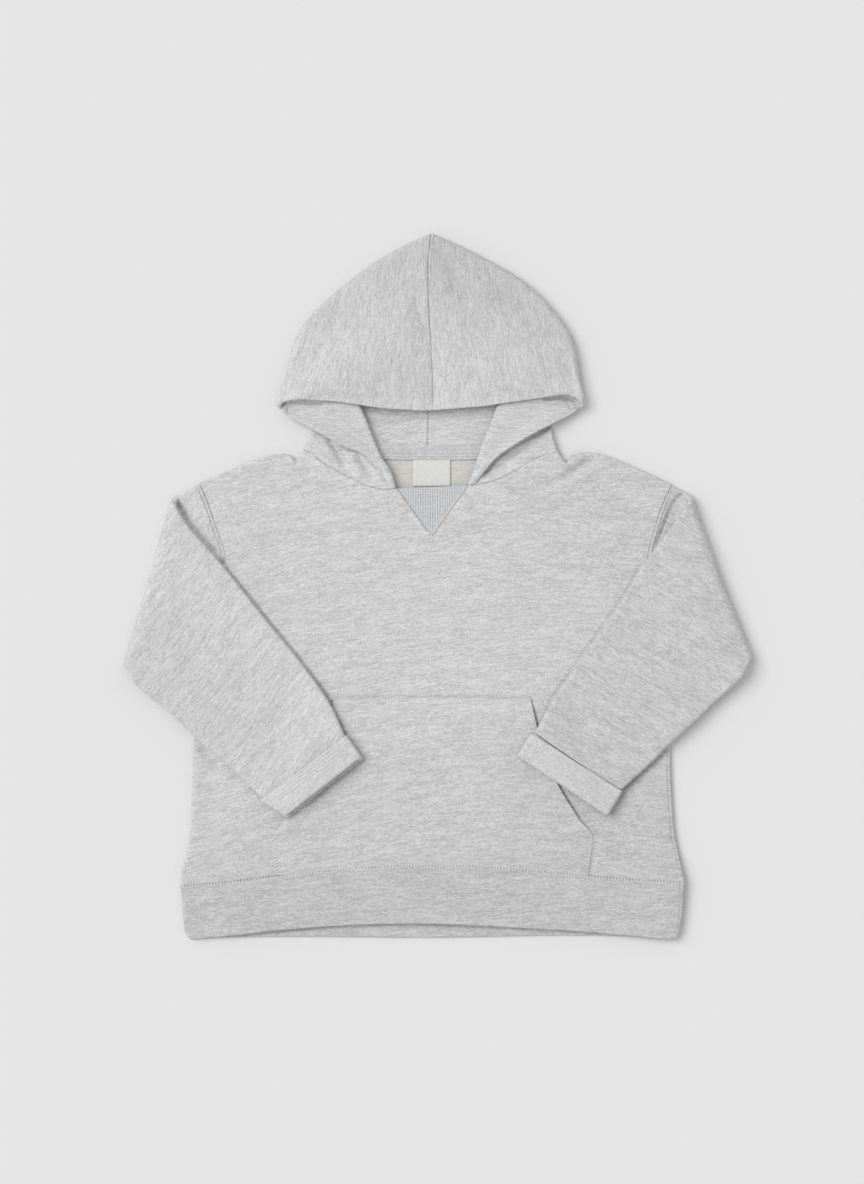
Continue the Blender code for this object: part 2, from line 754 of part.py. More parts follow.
def rests_on(places):
    """Height of what a folded sleeve lies on."""
    body = np.concatenate(
        [
            *(EDGES["left"][k] for k in (0, 1)),
            *(EDGES["right"][k][::-1] for k in (1, 0)),
        ]
    )
    outside = np.where(inside(places, body), 0.0, distance(places, np.vstack([body, body[:1]])))
    for side, sleeve in SLEEVES.items():
        armhole = EDGES[side][1]
        under = np.array([armhole[0], armhole[-1], sleeve.fold_top, sleeve.fold_bottom, armhole[0]])
        gap = np.where(inside(places, under[:-1]), 0.0, distance(places, under))
        outside = np.minimum(outside, gap)
    top = BODY_HEIGHT + SWELL
    height = top + (OVERHANG_HEIGHT - top) * smooth(outside / OVERHANG)
    shape = [*POCKET_SIDE["left"], *POCKET_SIDE["right"][::-1]]
    beside = np.where(inside(places, shape), 0.0, distance(places, [*shape, shape[0]]))
    near, run = POCKET_BEDDING
    return height + POCKET_TOP_ABOVE_FRONT * (1 - smooth((beside - near) / run))


def frame_of(sleeve):
    """The fold line's start, its direction and the direction across it, away from the body."""
    start = np.array(sleeve.fold_top)
    along = np.array(sleeve.fold_bottom) - start
    length = np.linalg.norm(along)
    along = along / length
    across = np.array((along[1], -along[0]))
    if across[0] * start[0] < 0:
        across = -across
    return start, along, across, length


def unfolded(points, sleeve, beyond):
    """Places in plan as (across, along) the fold line, with what is folded over opened out."""
    start, along, across, _ = frame_of(sleeve)
    offset = np.asarray(points, float) - start
    return np.stack([offset @ across * (-1 if beyond else 1), offset @ along], axis=-1)


def axis_height(along, length):
    share = np.clip(along / length, 0, 1)
    return FOLD_AXIS_SHOULDER + (FOLD_AXIS_ELBOW - FOLD_AXIS_SHOULDER) * share


def fold_over(flat, sleeve, clearance):
    """Folds points of the opened sleeve, (across, along, height), about its fold line."""
    start, along, across, length = frame_of(sleeve)
    u, s, n = flat[..., 0], flat[..., 1], flat[..., 2]
    axis = axis_height(s, length)
    turn = np.pi * np.clip((u + axis) / (2 * axis), 0, 1)
    inward = np.where(u < -axis, -u, np.where(u > axis, u, axis - (axis - n) * np.sin(turn)))
    near = (1 - np.clip(np.abs(inward) / BOW_REACH, 0, 1)) ** 2
    inward = inward + sleeve.bow * near * np.sin(np.pi * np.clip(s / length, 0, 1))
    plan = start + s[..., None] * along - inward[..., None] * across
    high = 2 * axis - BODY_HEIGHT
    settled = smooth((u - axis) / SETTLE)
    base = high + (rests_on(plan) + clearance - high) * settled
    height = np.where(u < axis, axis - (axis - n) * np.cos(turn), base + BODY_HEIGHT - n)
    return np.concatenate([plan, height[..., None]], axis=-1)


def ring_shares(length, steps):
    return between_folds(length, SLEEVE_FOLD_RADIUS, steps)


def tube_ring(top, under, shares, bend, swell_up, swell_down, widen=0.0):
    """One ring of a flattened tube, over its upper wall and back along its lower one.

    top and under are its two edges as (across, along), bend moves its middle, and widen stands
    it off a tube inside it.
    """
    width = np.linalg.norm(under - top)
    direction = (under - top) / width
    radius = SLEEVE_FOLD_RADIUS + widen
    inset = BODY_WALL / 2
    line = top + direction * inset + np.outer(shares, direction * (width - 2 * inset)) + bend
    line = line + np.outer((2 * shares - 1) * widen, direction)
    reach = np.minimum(shares, 1 - shares) * (width - 2 * inset)
    half = fold_profile(reach, SLEEVE_FOLD_RADIUS) * radius / SLEEVE_FOLD_RADIUS
    full = smooth(reach / SWELL_REACH) * SWELL
    upper = np.column_stack([line, BODY_MIDDLE + half + swell_up * full])
    lower = np.column_stack([line, BODY_MIDDLE - half - swell_down * full])
    return np.concatenate([upper, lower[-2:0:-1]])


def sleeve_lines(side):
    """The upper and under edges of the opened sleeve as dense (across, along) lines."""
    sleeve = SLEEVES[side]
    armhole = EDGES[side][1]
    lines = []
    for body_end, folded in ((armhole[-1], sleeve.inner), (armhole[0], sleeve.outer)):
        beyond = unfolded(curve(folded, DENSE), sleeve, True)
        lines.append(np.vstack([unfolded([body_end], sleeve, False), beyond[beyond[:, 0] > 0]]))
    return lines


def on_line(line, across):
    return np.array((across, np.interp(across, line[:, 0], line[:, 1])))


def stations(top_start, under_start, top_end, under_end):
    """Where the rings stand along a sleeve: beside the armhole, round the fold, then to the end."""
    rows = []
    for share in (0.0, 0.5):
        top = top_start + (-FOLD_AXIS_SHOULDER - top_start) * share
        under = under_start + (-FOLD_AXIS_ELBOW - under_start) * share
        rows.append(Station(top, under, bent=1 - share, turned=0.0, to_end=SLEEVE_LENGTH))
    for share in FOLD_SHARES:
        top, under = FOLD_AXIS_SHOULDER * share, FOLD_AXIS_ELBOW * share
        rows.append(Station(top, under, bent=0.0, turned=(share + 1) / 2, to_end=SLEEVE_LENGTH))
    for share in SLEEVE_SHARES:
        top = FOLD_AXIS_SHOULDER + (top_end - FOLD_AXIS_SHOULDER) * share
        under = FOLD_AXIS_ELBOW + (under_end - FOLD_AXIS_ELBOW) * share
        rows.append(Station(top, under, bent=0.0, turned=1.0, to_end=(1 - share) * SLEEVE_LENGTH))
    return rows


def sleeve(side, finish):
    shape = SLEEVES[side]
    armhole = EDGES[side][1]
    top_line, under_line = sleeve_lines(side)
    shares = armhole_shares(side)
    seam = unfolded(curve(armhole, shares), shape, False)[::-1]
    shares = 1 - shares[::-1]
    bend = seam - (seam[0] + np.outer(shares, seam[-1] - seam[0]))
    rings = []
    for row in stations(top_line[0, 0], under_line[0, 0], top_line[-1, 0], under_line[-1, 0]):
        top, under = on_line(top_line, row.top), on_line(under_line, row.under)
        near_fold = max(0, 1 - (row.under / ELBOW_ROUNDING_REACH) ** 2)
        under = under - (0, ELBOW_ROUNDING * near_fold)
        places = ring_shares(np.linalg.norm(under - top), TUBE_RUN)
        moved = np.column_stack([np.interp(places, shares, bend[:, k]) for k in (0, 1)]) * row.bent
        if not rings:
            moved = moved + (SEAM_GAP * 1.8, 0)
        ring = tube_ring(top, under, places, moved, 1 - row.turned, row.turned)
        cuff_rise = CUFF_STEP * (1 - smooth(row.to_end / CUFF_STEP_REACH))
        rings.append(fold_over(ring, shape, REST_CLEARANCE + cuff_rise))
    rims = ((FIRST_ROW, ALONG_X),)
    return cloth("sleeve_" + side, np.array(rings), BODY_WALL, finish, loop=True, square=rims)


def cuff(side, finish):
    """The sleeve's end, turned up once: an inner wall, a fold at the opening and an outer wall."""
    shape = SLEEVES[side]
    top_line, under_line = sleeve_lines(side)
    starts = np.array([top_line[-1], under_line[-1]])
    ends = unfolded([shape.end_inner, shape.end_outer], shape, True)
    deep = np.linalg.norm(ends - starts, axis=1).mean()
    fold = CUFF_STEP / 2
    path = [(1.8 * SEAM_GAP, 0.0), (deep / 2, 0.0)]
    for angle in CUFF_FOLD_ANGLES:
        path.append((deep - CUFF_WALL / 2 - fold * (1 - math.sin(angle)), fold * (1 - math.cos(angle))))
    path += [(deep / 2, CUFF_STEP), (-CUFF_OVERLAP, CUFF_STEP)]
    rings = []
    for reach, widen in path:
        share = reach / deep
        top, under = starts + (ends - starts) * share
        places = ring_shares(np.linalg.norm(under - top), CUFF_RUN)
        ring = tube_ring(top, under, places, 0, 0, 1, widen)
        rings.append(fold_over(ring, shape, REST_CLEARANCE + CUFF_STEP))
    return cloth("cuff_" + side, np.array(rings), CUFF_WALL, finish, loop=True)


# Hood


def seam_x(y):
    """The hood's centre seam wanders a little."""
    line = curve(CENTRE_SEAM, DENSE)
    return np.interp(y, line[:, 1], line[:, 0])


def raised(plan, height):
    return np.append(plan, height)


def straight(start, end, steps):
    """Points from start to just before end."""
    return start + np.linspace(0, 1, steps, endpoint=False)[:, None] * (end - start)


def arc(tip, out, low, high, turn=180.0):
    """Points round a fold, from above to below. out is the way that it bulges, in plan, and the
    cloth's outer side reaches the tip."""
    radius = (high - low) / 2
    angles = np.radians(np.linspace(turn - 90, -90, ARC_STEPS + 1))
    centre = np.asarray(tip) - np.multiply(out, radius + HOOD_WALL / 2)
    plan = centre + np.outer(np.cos(angles), out) * radius
    return np.column_stack([plan, (low + high) / 2 + radius * np.sin(angles)])


def outward(points, k, toward_x):
    """Unit normal in plan of a line of points at its point k, on the side of the sign of x."""
    ahead = points[min(k + 1, len(points) - 1)]
    behind = points[max(k - 1, 0)]
    along = np.subtract(ahead, behind)
    normal = np.array((along[1], -along[0])) / np.hypot(*along)
    return normal if normal[0] * toward_x > 0 else -normal


def chord_bend(line, steps):
    """How far a curved line's points stand from its chord."""
    shares = np.linspace(0, 1, steps, endpoint=False)
    points = curve(line, shares)
    chord = points[0] + np.outer(shares, np.array(line[-1], float) - points[0])
    return np.column_stack([points - chord, np.zeros(steps)])


def hood_sections(side):
    out_x = -1 if side == "left" else 1
    half_gap = out_x * SEAM_GAP / 2
    lapels, crowns = LAPELS[side], CROWNS[side]
    rolls = [(row.roll_x, row.roll_y) for row in lapels]
    necks = [(row.neck_x, row.neck_y) for row in lapels]
    sides = [(row.side_x, row.side_y) for row in crowns]
    neck_back = [EDGES[side][3][0], *(BACK_NECK[1:4] if side == "left" else BACK_NECK[-2:2:-1])]
    sections = []
    for k, row in enumerate(lapels):
        back = raised((seam_x(row.back_y) + half_gap, row.back_y), BACK_LEVEL)
        roll_out = outward(rolls, k, -out_x)
        first = k == 0
        roll = arc(rolls[k], roll_out, ROLL_LOW, ROLL_SEWN if first else ROLL_HIGH)
        if first:
            seam = curve(EDGES[side][3], NECK_SHARES[::-1])
            start = seam[0] + (seam[1] - seam[0]) * V_SHARE
            roll[:, :2] += start - roll[-1, :2]
        neck = arc(necks[k], outward(necks, k, out_x), BACK_LEVEL, NECK_FRONT_LEVEL)
        edge = raised((row.edge_x, row.edge_y), LAPEL_LEVEL)
        over = roll[0] - edge
        inner = edge + over * row.strip / max(row.strip + 1, np.hypot(*over[:2]))
        down = straight(roll[-1], neck[0], NECK_RUN)
        under = straight(neck[-1], back, BACK_RUN)
        if first:
            down[1:, :2] = seam[1:-1]
            down[1:, 2] = body_height(down[1:], True) - (HOOD_WALL - BODY_WALL) / 2
            under = under + chord_bend(neck_back, BACK_RUN)
        section = [
            straight(edge, inner, CROWN_RUN + ARC_STEPS),
            straight(inner, roll[0], ROLL_RUN),
            roll[:-1],
            down,
            neck[:-1],
            under,
            [back],
        ]
        points = np.concatenate(section)
        if first:
            points = points + (0, SEAM_GAP * 1.4, 0)
        sections.append(points)
    for k, (row, level) in enumerate(zip(crowns, CROWN_LEVELS)):
        last = k == len(crowns) - 1
        side_out = np.array((0.0, 1.0)) if last else outward(sides, k, out_x)
        shoulder = arc(sides[k], side_out, level.side_low, level.side_high, level.turn)
        back = raised((seam_x(row.back_y) + half_gap, row.back_y), BACK_LEVEL)
        edge = raised((row.edge_x, row.edge_y), level.edge)
        crown = straight(edge, shoulder[0], CROWN_RUN)
        shares = np.linspace(0, 1, CROWN_RUN, endpoint=False)
        crown[:, 2] += level.crown * np.sin(np.pi * shares) ** 2
        rest = back - shoulder[-1]
        roll_at = (shoulder[-1] + rest * ROLL_UNDER_CROWN)[:2]
        neck_at = (shoulder[-1] + rest * NECK_UNDER_CROWN)[:2]
        toward = rest[:2] / np.hypot(*rest[:2])
        roll = arc(roll_at, toward, ROLL_LOW, ROLL_HIGH)
        neck = arc(neck_at, -toward, BACK_LEVEL, NECK_FRONT_LEVEL)
        folded = np.concatenate(
            [
                straight(shoulder[-1], roll[0], ROLL_RUN),
                roll[:-1],
                straight(roll[-1], neck[0], NECK_RUN),
                neck[:-1],
                straight(neck[-1], back, BACK_RUN),
                [back],
            ]
        )
        flat = shoulder[-1] + np.linspace(0, 1, len(folded))[:, None] * rest
        under = flat + (folded - flat) * level.folded
        points = np.concatenate([crown, shoulder[:-1], under])
        if last:
            points[:, 0] = seam_x(points[:, 1]) + half_gap
        sections.append(points)
    return np.array(sections)


def hood(side, finish):
    square = (
        (FIRST_ROW, ALONG_Y),
        (LAST_ROW, ALONG_X),
        (LAST_COLUMN, ALONG_X),
    )
    return cloth("hood_" + side, hood_sections(side), HOOD_WALL, finish, square=square)


def main():
    fleece = material("grey melange fleece", GREY, 0.95)
    rib = material("bluish grey rib", GREY_BLUE, 0.95)
    woven = material("off-white woven label", OFF_WHITE, 0.7)
    body_front(fleece)
    body_back(fleece)
    hem_band("hem_band_front", FRONT_HEM, True, fleece)
    hem_band("hem_band_back", BACK_HEM, False, fleece)
    pocket(fleece)
    neck_gusset(rib)
    neck_tape(fleece)
    neck_label(woven)
    for side in ("left", "right"):
        sleeve(side, fleece)
        cuff(side, fleece)
        hood(side, fleece)


main()
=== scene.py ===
"""How the toddler hoodie looks: grey melange fleece with its seams, stitches and creases.

Each cut piece is a thin closed shell of cloth on the form of its solid, sampled more finely.
Lengths are in millimetres until a mesh is made. X runs across the garment, Y from the hem to the
hood and Z up. Left is -X.
"""

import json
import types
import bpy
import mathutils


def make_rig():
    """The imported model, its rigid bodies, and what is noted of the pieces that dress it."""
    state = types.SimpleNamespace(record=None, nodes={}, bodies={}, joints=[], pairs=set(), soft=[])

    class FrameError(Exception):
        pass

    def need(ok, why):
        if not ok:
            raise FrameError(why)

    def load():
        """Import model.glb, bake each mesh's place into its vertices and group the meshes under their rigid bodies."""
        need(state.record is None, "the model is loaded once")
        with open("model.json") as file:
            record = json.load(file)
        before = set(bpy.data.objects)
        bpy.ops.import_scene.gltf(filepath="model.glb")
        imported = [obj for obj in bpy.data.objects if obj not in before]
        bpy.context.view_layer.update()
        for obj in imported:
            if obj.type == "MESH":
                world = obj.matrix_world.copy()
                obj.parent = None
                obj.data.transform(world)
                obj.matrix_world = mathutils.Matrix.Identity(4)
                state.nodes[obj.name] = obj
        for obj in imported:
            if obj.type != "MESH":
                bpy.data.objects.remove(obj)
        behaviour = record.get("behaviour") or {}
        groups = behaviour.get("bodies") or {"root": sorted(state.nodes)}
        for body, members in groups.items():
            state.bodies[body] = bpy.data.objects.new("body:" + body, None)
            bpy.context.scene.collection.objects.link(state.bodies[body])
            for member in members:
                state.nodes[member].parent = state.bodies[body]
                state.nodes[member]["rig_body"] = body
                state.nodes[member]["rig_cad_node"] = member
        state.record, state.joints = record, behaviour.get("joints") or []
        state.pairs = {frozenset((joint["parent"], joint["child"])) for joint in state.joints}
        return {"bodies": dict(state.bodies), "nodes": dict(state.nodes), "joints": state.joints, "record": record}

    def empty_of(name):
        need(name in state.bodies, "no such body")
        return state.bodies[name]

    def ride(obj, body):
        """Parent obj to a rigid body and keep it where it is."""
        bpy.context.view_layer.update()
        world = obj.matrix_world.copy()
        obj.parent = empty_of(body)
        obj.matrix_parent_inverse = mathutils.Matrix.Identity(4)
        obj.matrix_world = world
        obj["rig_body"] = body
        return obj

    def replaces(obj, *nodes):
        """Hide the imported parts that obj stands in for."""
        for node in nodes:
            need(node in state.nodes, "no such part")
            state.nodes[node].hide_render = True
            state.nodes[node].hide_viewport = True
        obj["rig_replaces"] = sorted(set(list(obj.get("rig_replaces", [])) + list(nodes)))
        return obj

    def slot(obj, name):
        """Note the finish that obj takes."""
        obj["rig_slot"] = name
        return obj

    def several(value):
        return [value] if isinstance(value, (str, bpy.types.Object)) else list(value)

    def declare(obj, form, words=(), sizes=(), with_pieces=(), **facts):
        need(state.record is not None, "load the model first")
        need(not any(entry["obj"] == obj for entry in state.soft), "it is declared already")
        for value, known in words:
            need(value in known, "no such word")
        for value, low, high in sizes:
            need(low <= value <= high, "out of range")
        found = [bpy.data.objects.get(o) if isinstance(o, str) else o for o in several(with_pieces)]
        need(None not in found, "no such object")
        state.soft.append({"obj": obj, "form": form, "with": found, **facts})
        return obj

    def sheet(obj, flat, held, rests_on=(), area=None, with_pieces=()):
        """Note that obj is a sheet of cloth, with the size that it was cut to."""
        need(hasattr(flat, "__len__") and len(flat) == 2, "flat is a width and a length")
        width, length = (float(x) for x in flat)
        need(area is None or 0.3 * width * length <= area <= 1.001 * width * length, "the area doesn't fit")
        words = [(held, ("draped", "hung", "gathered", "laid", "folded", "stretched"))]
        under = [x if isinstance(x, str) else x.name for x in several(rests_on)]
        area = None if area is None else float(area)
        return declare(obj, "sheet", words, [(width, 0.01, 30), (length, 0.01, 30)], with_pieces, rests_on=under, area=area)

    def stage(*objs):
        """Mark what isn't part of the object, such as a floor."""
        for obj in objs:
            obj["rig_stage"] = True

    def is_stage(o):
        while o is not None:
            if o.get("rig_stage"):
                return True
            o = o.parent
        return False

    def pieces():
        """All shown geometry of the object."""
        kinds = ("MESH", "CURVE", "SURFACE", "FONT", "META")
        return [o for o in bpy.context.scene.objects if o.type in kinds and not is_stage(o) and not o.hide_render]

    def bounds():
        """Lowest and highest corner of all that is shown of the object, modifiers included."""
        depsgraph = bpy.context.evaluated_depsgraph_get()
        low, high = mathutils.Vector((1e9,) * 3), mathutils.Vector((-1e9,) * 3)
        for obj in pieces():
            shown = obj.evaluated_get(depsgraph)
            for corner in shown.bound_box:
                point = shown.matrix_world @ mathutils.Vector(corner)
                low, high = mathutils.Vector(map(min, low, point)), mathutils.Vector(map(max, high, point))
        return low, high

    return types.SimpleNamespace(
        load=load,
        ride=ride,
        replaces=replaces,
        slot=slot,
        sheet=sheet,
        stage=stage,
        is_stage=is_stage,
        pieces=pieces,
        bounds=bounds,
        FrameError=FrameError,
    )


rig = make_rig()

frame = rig.load()
cad_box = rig.bounds()

import json
import math
from collections import namedtuple

import bmesh
import bpy
import numpy as np
from mathutils import Vector
from mathutils.bvhtree import BVHTree
from mathutils.kdtree import KDTree

MM = 0.001

# Cloth
BODY_WALL = 1.8
BAND_WALL = 2.4
CUFF_WALL = 1.6
HOOD_WALL = 2.2
TRIM_WALL = 1.0
SEAM_GAP = 0.3
LAYER_GAP = 0.3

# The body lies as two walls with a soft fold at each side and along each shoulder.
FOLD_RADIUS = 1.55
BODY_MIDDLE = BODY_WALL / 2 + FOLD_RADIUS + SEAM_GAP / 2
BODY_HEIGHT = 2 * BODY_MIDDLE
SWELL = 1.2
SWELL_REACH = 45.0
NECK_RISE = 1.0
NECK_REACH = 30.0
BAND_FOLD_RADIUS = 1.5
FOLD_ANGLES = np.radians(np.arange(0, 91, 15))

# How finely the cloth is divided
DENSE = np.linspace(0, 1, 121)
SIDE_RUN = 76
TUBE_RUN = 50
BACK_NECK_RUN = 66
BAND_RUN = 160
BAND_ROWS = np.linspace(0, 1, 19)
SHOULDER_SHARES = np.linspace(0.03, 0.985, 36)
V_RUN = 20
POCKET_ACROSS = np.linspace(0, 1, 121)
POCKET_UP = np.linspace(0, 1, 101)
RIM_STEPS = (0.25, 0.6, 1.1, 1.8)  # extra lines beside each free edge
RIM_ROOM = 0.85  # those lines take up no more than this share of the first gap
RIM_REACH = 1.8
RIM_SHARE = 0.5  # of the wall that is left at a free edge
SEAM_SHARE = 0.8


def table(columns, *rows):
    """Rows of numbers with named columns."""
    return [columns(*row) for row in rows]


# Outlines as they lie, in plan. Each runs upward or from left to right.
SIDE = {
    "left": (
        (-201, -234), (-199.5, -223), (-195.5, -207.5), (-192.5, -178.5), (-191.5, -143.5),
        (-190, -100.5), (-187.5, -54.5),
    ),
    "right": (
        (193, -231), (191.5, -224), (188, -208.5), (185, -189), (183, -163), (181.5, -116),
        (180, -50),
    ),
}
ARMHOLE = {
    "left": (
        (-187.5, -54.5), (-175, -28), (-166.5, -1.5), (-165, 21), (-173, 47.5), (-180.5, 68.5),
        (-185.5, 80.5),
    ),
    "right": (
        (180, -50), (169.5, -25), (164, 1), (164.5, 24), (169.5, 44), (175.5, 63), (182.5, 79.5),
    ),
}
# From the armhole in to the side of the neck. The dip beside the neck is where the shoulder creases.
SHOULDER = {
    "left": (
        (-185.5, 80.5), (-156, 93), (-134, 101), (-116, 102.5), (-110, 98.5), (-106, 102),
        (-103.5, 107.5),
    ),
    "right": (
        (182.5, 79.5), (150, 94.5), (126, 103.5), (111, 104.2), (104, 101.5), (100.8, 95.8),
        (97.4, 99.5), (93.5, 107),
    ),
}
# From the side of the neck down to the V.
NECK = {
    "left": ((-103.5, 107.5), (-85.5, 94), (-72.5, 87), (-59.5, 80.5), (-45, 76), (-31, 76)),
    "right": ((93.5, 107), (78, 99.5), (63, 91.5), (51, 85), (38.5, 80.5), (23.5, 78.5)),
}
V_TIP = (-4.5, 39)
BACK_NECK = (
    (-103.5, 107.5), (-80, 102), (-45, 99.5), (-4.5, 99), (33, 99.5), (70, 102), (93.5, 107),
)
BAND_SEAM = (
    (-201, -234), (-171.5, -231.5), (-127, -226.5), (-89.5, -222.5), (-52.5, -219.5),
    (-4.5, -218), (39, -219.5), (76.5, -222.5), (117, -226), (151, -229), (193, -231),
)
FRONT_HEM = (
    (-193, -275.5), (-164, -273), (-123, -268.5), (-69, -264.5), (-4.5, -263.5), (62, -266.5),
    (114, -269.5), (158.5, -273.5), (184.5, -275.5),
)
BACK_HEM = ((-193, -276), (-157, -274.5), (-4.5, -274.5), (136, -273.5), (184.5, -276))
BAND_END = {
    "left": (
        (-193, -275.5), (-196.5, -271.5), (-198.5, -261.5), (-199.5, -246.5), (-201, -234.5),
    ),
    "right": ((184.5, -275.5), (188, -272), (190, -262.5), (191.5, -249.5), (193, -231.5)),
}

# Pocket
POCKET_SIDE = {
    "left": (
        (-123, -225.5), (-126, -210), (-128.5, -196.5), (-120.5, -184), (-111, -169.5),
        (-102, -153), (-93, -132), (-85.5, -107), (-81, -89),
    ),
    "right": (
        (118, -225.5), (120, -210), (121.5, -196), (110.5, -182), (102, -169), (93, -153),
        (85, -133), (77, -107.5), (72.5, -88),
    ),
}
POCKET_TOP = ((-81, -89), (-45, -88), (-4.5, -87), (34, -87.5), (72.5, -88))
POCKET_OPENING = -192.0  # the openings start above this y
POCKET_LIFT = 0.8
POCKET_LIFT_REACH = 14.0
POCKET_TOP_ABOVE_FRONT = LAYER_GAP + BODY_WALL + POCKET_LIFT
POCKET_BEDDING = (6.0, 30.0)  # a sleeve leaves the pocket's height this far out, over this distance

# Neck trims
GUSSET_INSET = 0.02
GUSSET_ACROSS = np.linspace(0, 1, 161)
GUSSET_ROWS = np.linspace(0, 0.97, 45)  # the tip is cut off just short of its point
TAPE_SPAN = (-51.0, 41.0)
TAPE_BELOW_SEAM = 0.5
TAPE_WIDTH = 11.0
TAPE_ACROSS = np.linspace(0, 1, 61)
TAPE_UP = np.linspace(-TAPE_BELOW_SEAM, TAPE_WIDTH, 12)
TAPE_HEIGHT = HOOD_WALL + LAYER_GAP + TRIM_WALL / 2
LABEL_SPAN = (-19.0, 10.0)
LABEL_RUN = (31, 25)
LABEL_BOTTOM = 78.0
LABEL_HEIGHT = BODY_WALL + LAYER_GAP + TRIM_WALL / 2

# Sleeves, folded in over the front. The inner contour is each sleeve's upper edge and the outer
# one its under edge, from the fold to the turned-up end.
Sleeve = namedtuple("Sleeve", "fold_top fold_bottom bow inner outer end_inner end_outer")
Station = namedtuple("Station", "top under bent turned to_end")
SLEEVES = {
    "left": Sleeve(
        fold_top=(-208, 68.5),
        fold_bottom=(-246.5, -64.5),
        bow=1.5,
        inner=(
            (-207.5, 68), (-196, 48.5), (-182, 32.5), (-168, 16.5), (-136, -23.5), (-104, -63),
            (-82.5, -94), (-71.5, -118),
        ),
        outer=(
            (-245.5, -66.5), (-231.5, -80), (-217.5, -91), (-203.5, -103), (-191, -116),
            (-168, -136), (-135, -166.5),
        ),
        end_inner=(-60.5, -134),
        end_outer=(-116.5, -177.5),
    ),
    "right": Sleeve(
        fold_top=(199, 69.5),
        fold_bottom=(247.5, -57.5),
        bow=2.5,
        inner=(
            (198, 69.5), (189, 55), (174.5, 35.5), (160, 16.5), (142.5, -13.5), (124.5, -39.5),
            (106.5, -65), (88.5, -91), (75.5, -114),
        ),
        outer=(
            (246.5, -60.5), (234, -74), (220, -87), (204, -102), (192, -113), (178, -126),
            (166, -138), (141.5, -160),
        ),
        end_inner=(63.5, -133),
        end_outer=(130.5, -177.5),
    ),
}
SLEEVE_FOLD_RADIUS = BODY_MIDDLE - BODY_WALL / 2
FOLD_AXIS_SHOULDER = 7.1  # height of the axis that each sleeve folds about
FOLD_AXIS_ELBOW = 6.3
ELBOW_ROUNDING = 5.0
ELBOW_ROUNDING_REACH = 12.0
BOW_REACH = 60.0
BESIDE_SEAM = (0.0, 1.3, 2.6, 4.0)
BESIDE_SHARES = np.linspace(0, 1, 25)[1:-1]
FOLD_SHARES = np.linspace(-1, 1, 17)
SLEEVE_SHARES = np.linspace(0, 1, 76)[1:]
SLEEVE_LENGTH = 130.0
SETTLE = 45.0  # how far past its fold a sleeve comes down to rest
REST_CLEARANCE = 0.5
OVERHANG = 45.0
OVERHANG_HEIGHT = 2.5
CUFF_STEP = (BODY_WALL + CUFF_WALL) / 2 + 2 * LAYER_GAP
CUFF_STEP_REACH = 25.0
CUFF_OVERLAP = 1.5
CUFF_TILT = {"left": 0.0, "right": 3.5}  # how far the turned-up edge slants down at its inner end
CUFF_UNDER = {"left": 1.9, "right": 0.5}  # the under side reaches further at the opening
CUFF_RUN = 44
CUFF_START = 1.8 * SEAM_GAP
CUFF_SHARES = np.linspace(0, 1, 15)
CUFF_FOLD_ANGLES = np.radians(np.arange(0, 181, 22.5))

# Hood. Each row is one section, from the front edge to the centre back. Lapel rows run from the
# neck seam to the corner, and crown rows from the corner to the centre seam.
Lapel = namedtuple("Lapel", "edge_x edge_y roll_x roll_y neck_x neck_y back_y strip")
Crown = namedtuple("Crown", "edge_x edge_y side_x side_y back_y")
Level = namedtuple("Level", "edge side_low side_high crown folded turn")
LAPELS = {
    "left": table(
        Lapel,
        (-37, 77.5, -32.5, 76.5, -103.5, 107.5, 99, 2),
        (-46.5, 91.5, -36.5, 90.5, -102, 111, 107, 5), (-57.5, 103, -43, 100, -100, 115.5, 114, 7),
        (-73, 109, -48.5, 112.5, -97.5, 120, 121, 9),
        (-90, 118.5, -53.5, 125, -96.5, 126.5, 128.5, 10),
        (-107, 127.5, -57.5, 135, -98.5, 134, 135.5, 10),
        (-118, 133.5, -62, 142.5, -102.5, 140.5, 142, 9),
    ),
    "right": table(
        Lapel,
        (28.5, 79.5, 24.5, 78.5, 93.5, 107, 99, 2), (36.5, 89.5, 27.5, 89, 92, 111, 107, 5),
        (45.5, 100, 31, 100, 90.5, 115.5, 114, 7), (60.5, 110.5, 35, 111.5, 89.5, 120, 121, 9),
        (76, 119.5, 40, 124, 89, 126.5, 128.5, 10), (92.5, 128, 44, 134, 90, 134, 135.5, 10),
        (105.5, 135, 48, 142.5, 93, 140.5, 142, 9),
    ),
}
CROWNS = {
    "left": table(
        Crown,
        (-121.5, 141.3, -125, 140.5, 148), (-117.5, 144.5, -125, 144, 153.5),
        (-107, 145, -123.5, 148, 159), (-95.5, 144.5, -120.5, 155, 165.5),
        (-80, 143.5, -117, 167, 174.5), (-62, 141, -114, 182.5, 187),
        (-45, 138.5, -109, 197.5, 202), (-32.5, 137.5, -95, 215, 217.5),
        (-22, 137, -75, 233, 232.5), (-13.5, 136.5, -49, 252.5, 246.5),
        (-8, 136.5, -27.5, 265, 256.5), (-4, 137, -5, 275.5, 263.5),
    ),
    "right": table(
        Crown,
        (111.5, 142.8, 115, 142, 148), (109, 145.5, 114.5, 145, 153.5),
        (100, 148.5, 113.5, 150.5, 159), (88.5, 147.5, 111.5, 157.5, 165.5),
        (72, 145, 109.5, 170, 174.5), (54, 142.5, 107.5, 184, 187), (37, 140, 103.5, 196.5, 202),
        (24.5, 139, 89.5, 216.5, 217.5), (14.5, 138, 69, 236.5, 232.5), (6, 137.5, 40, 254, 246.5),
        (0.5, 137, 18.5, 265, 256.5), (-4, 137, -5, 275.5, 263.5),
    ),
}
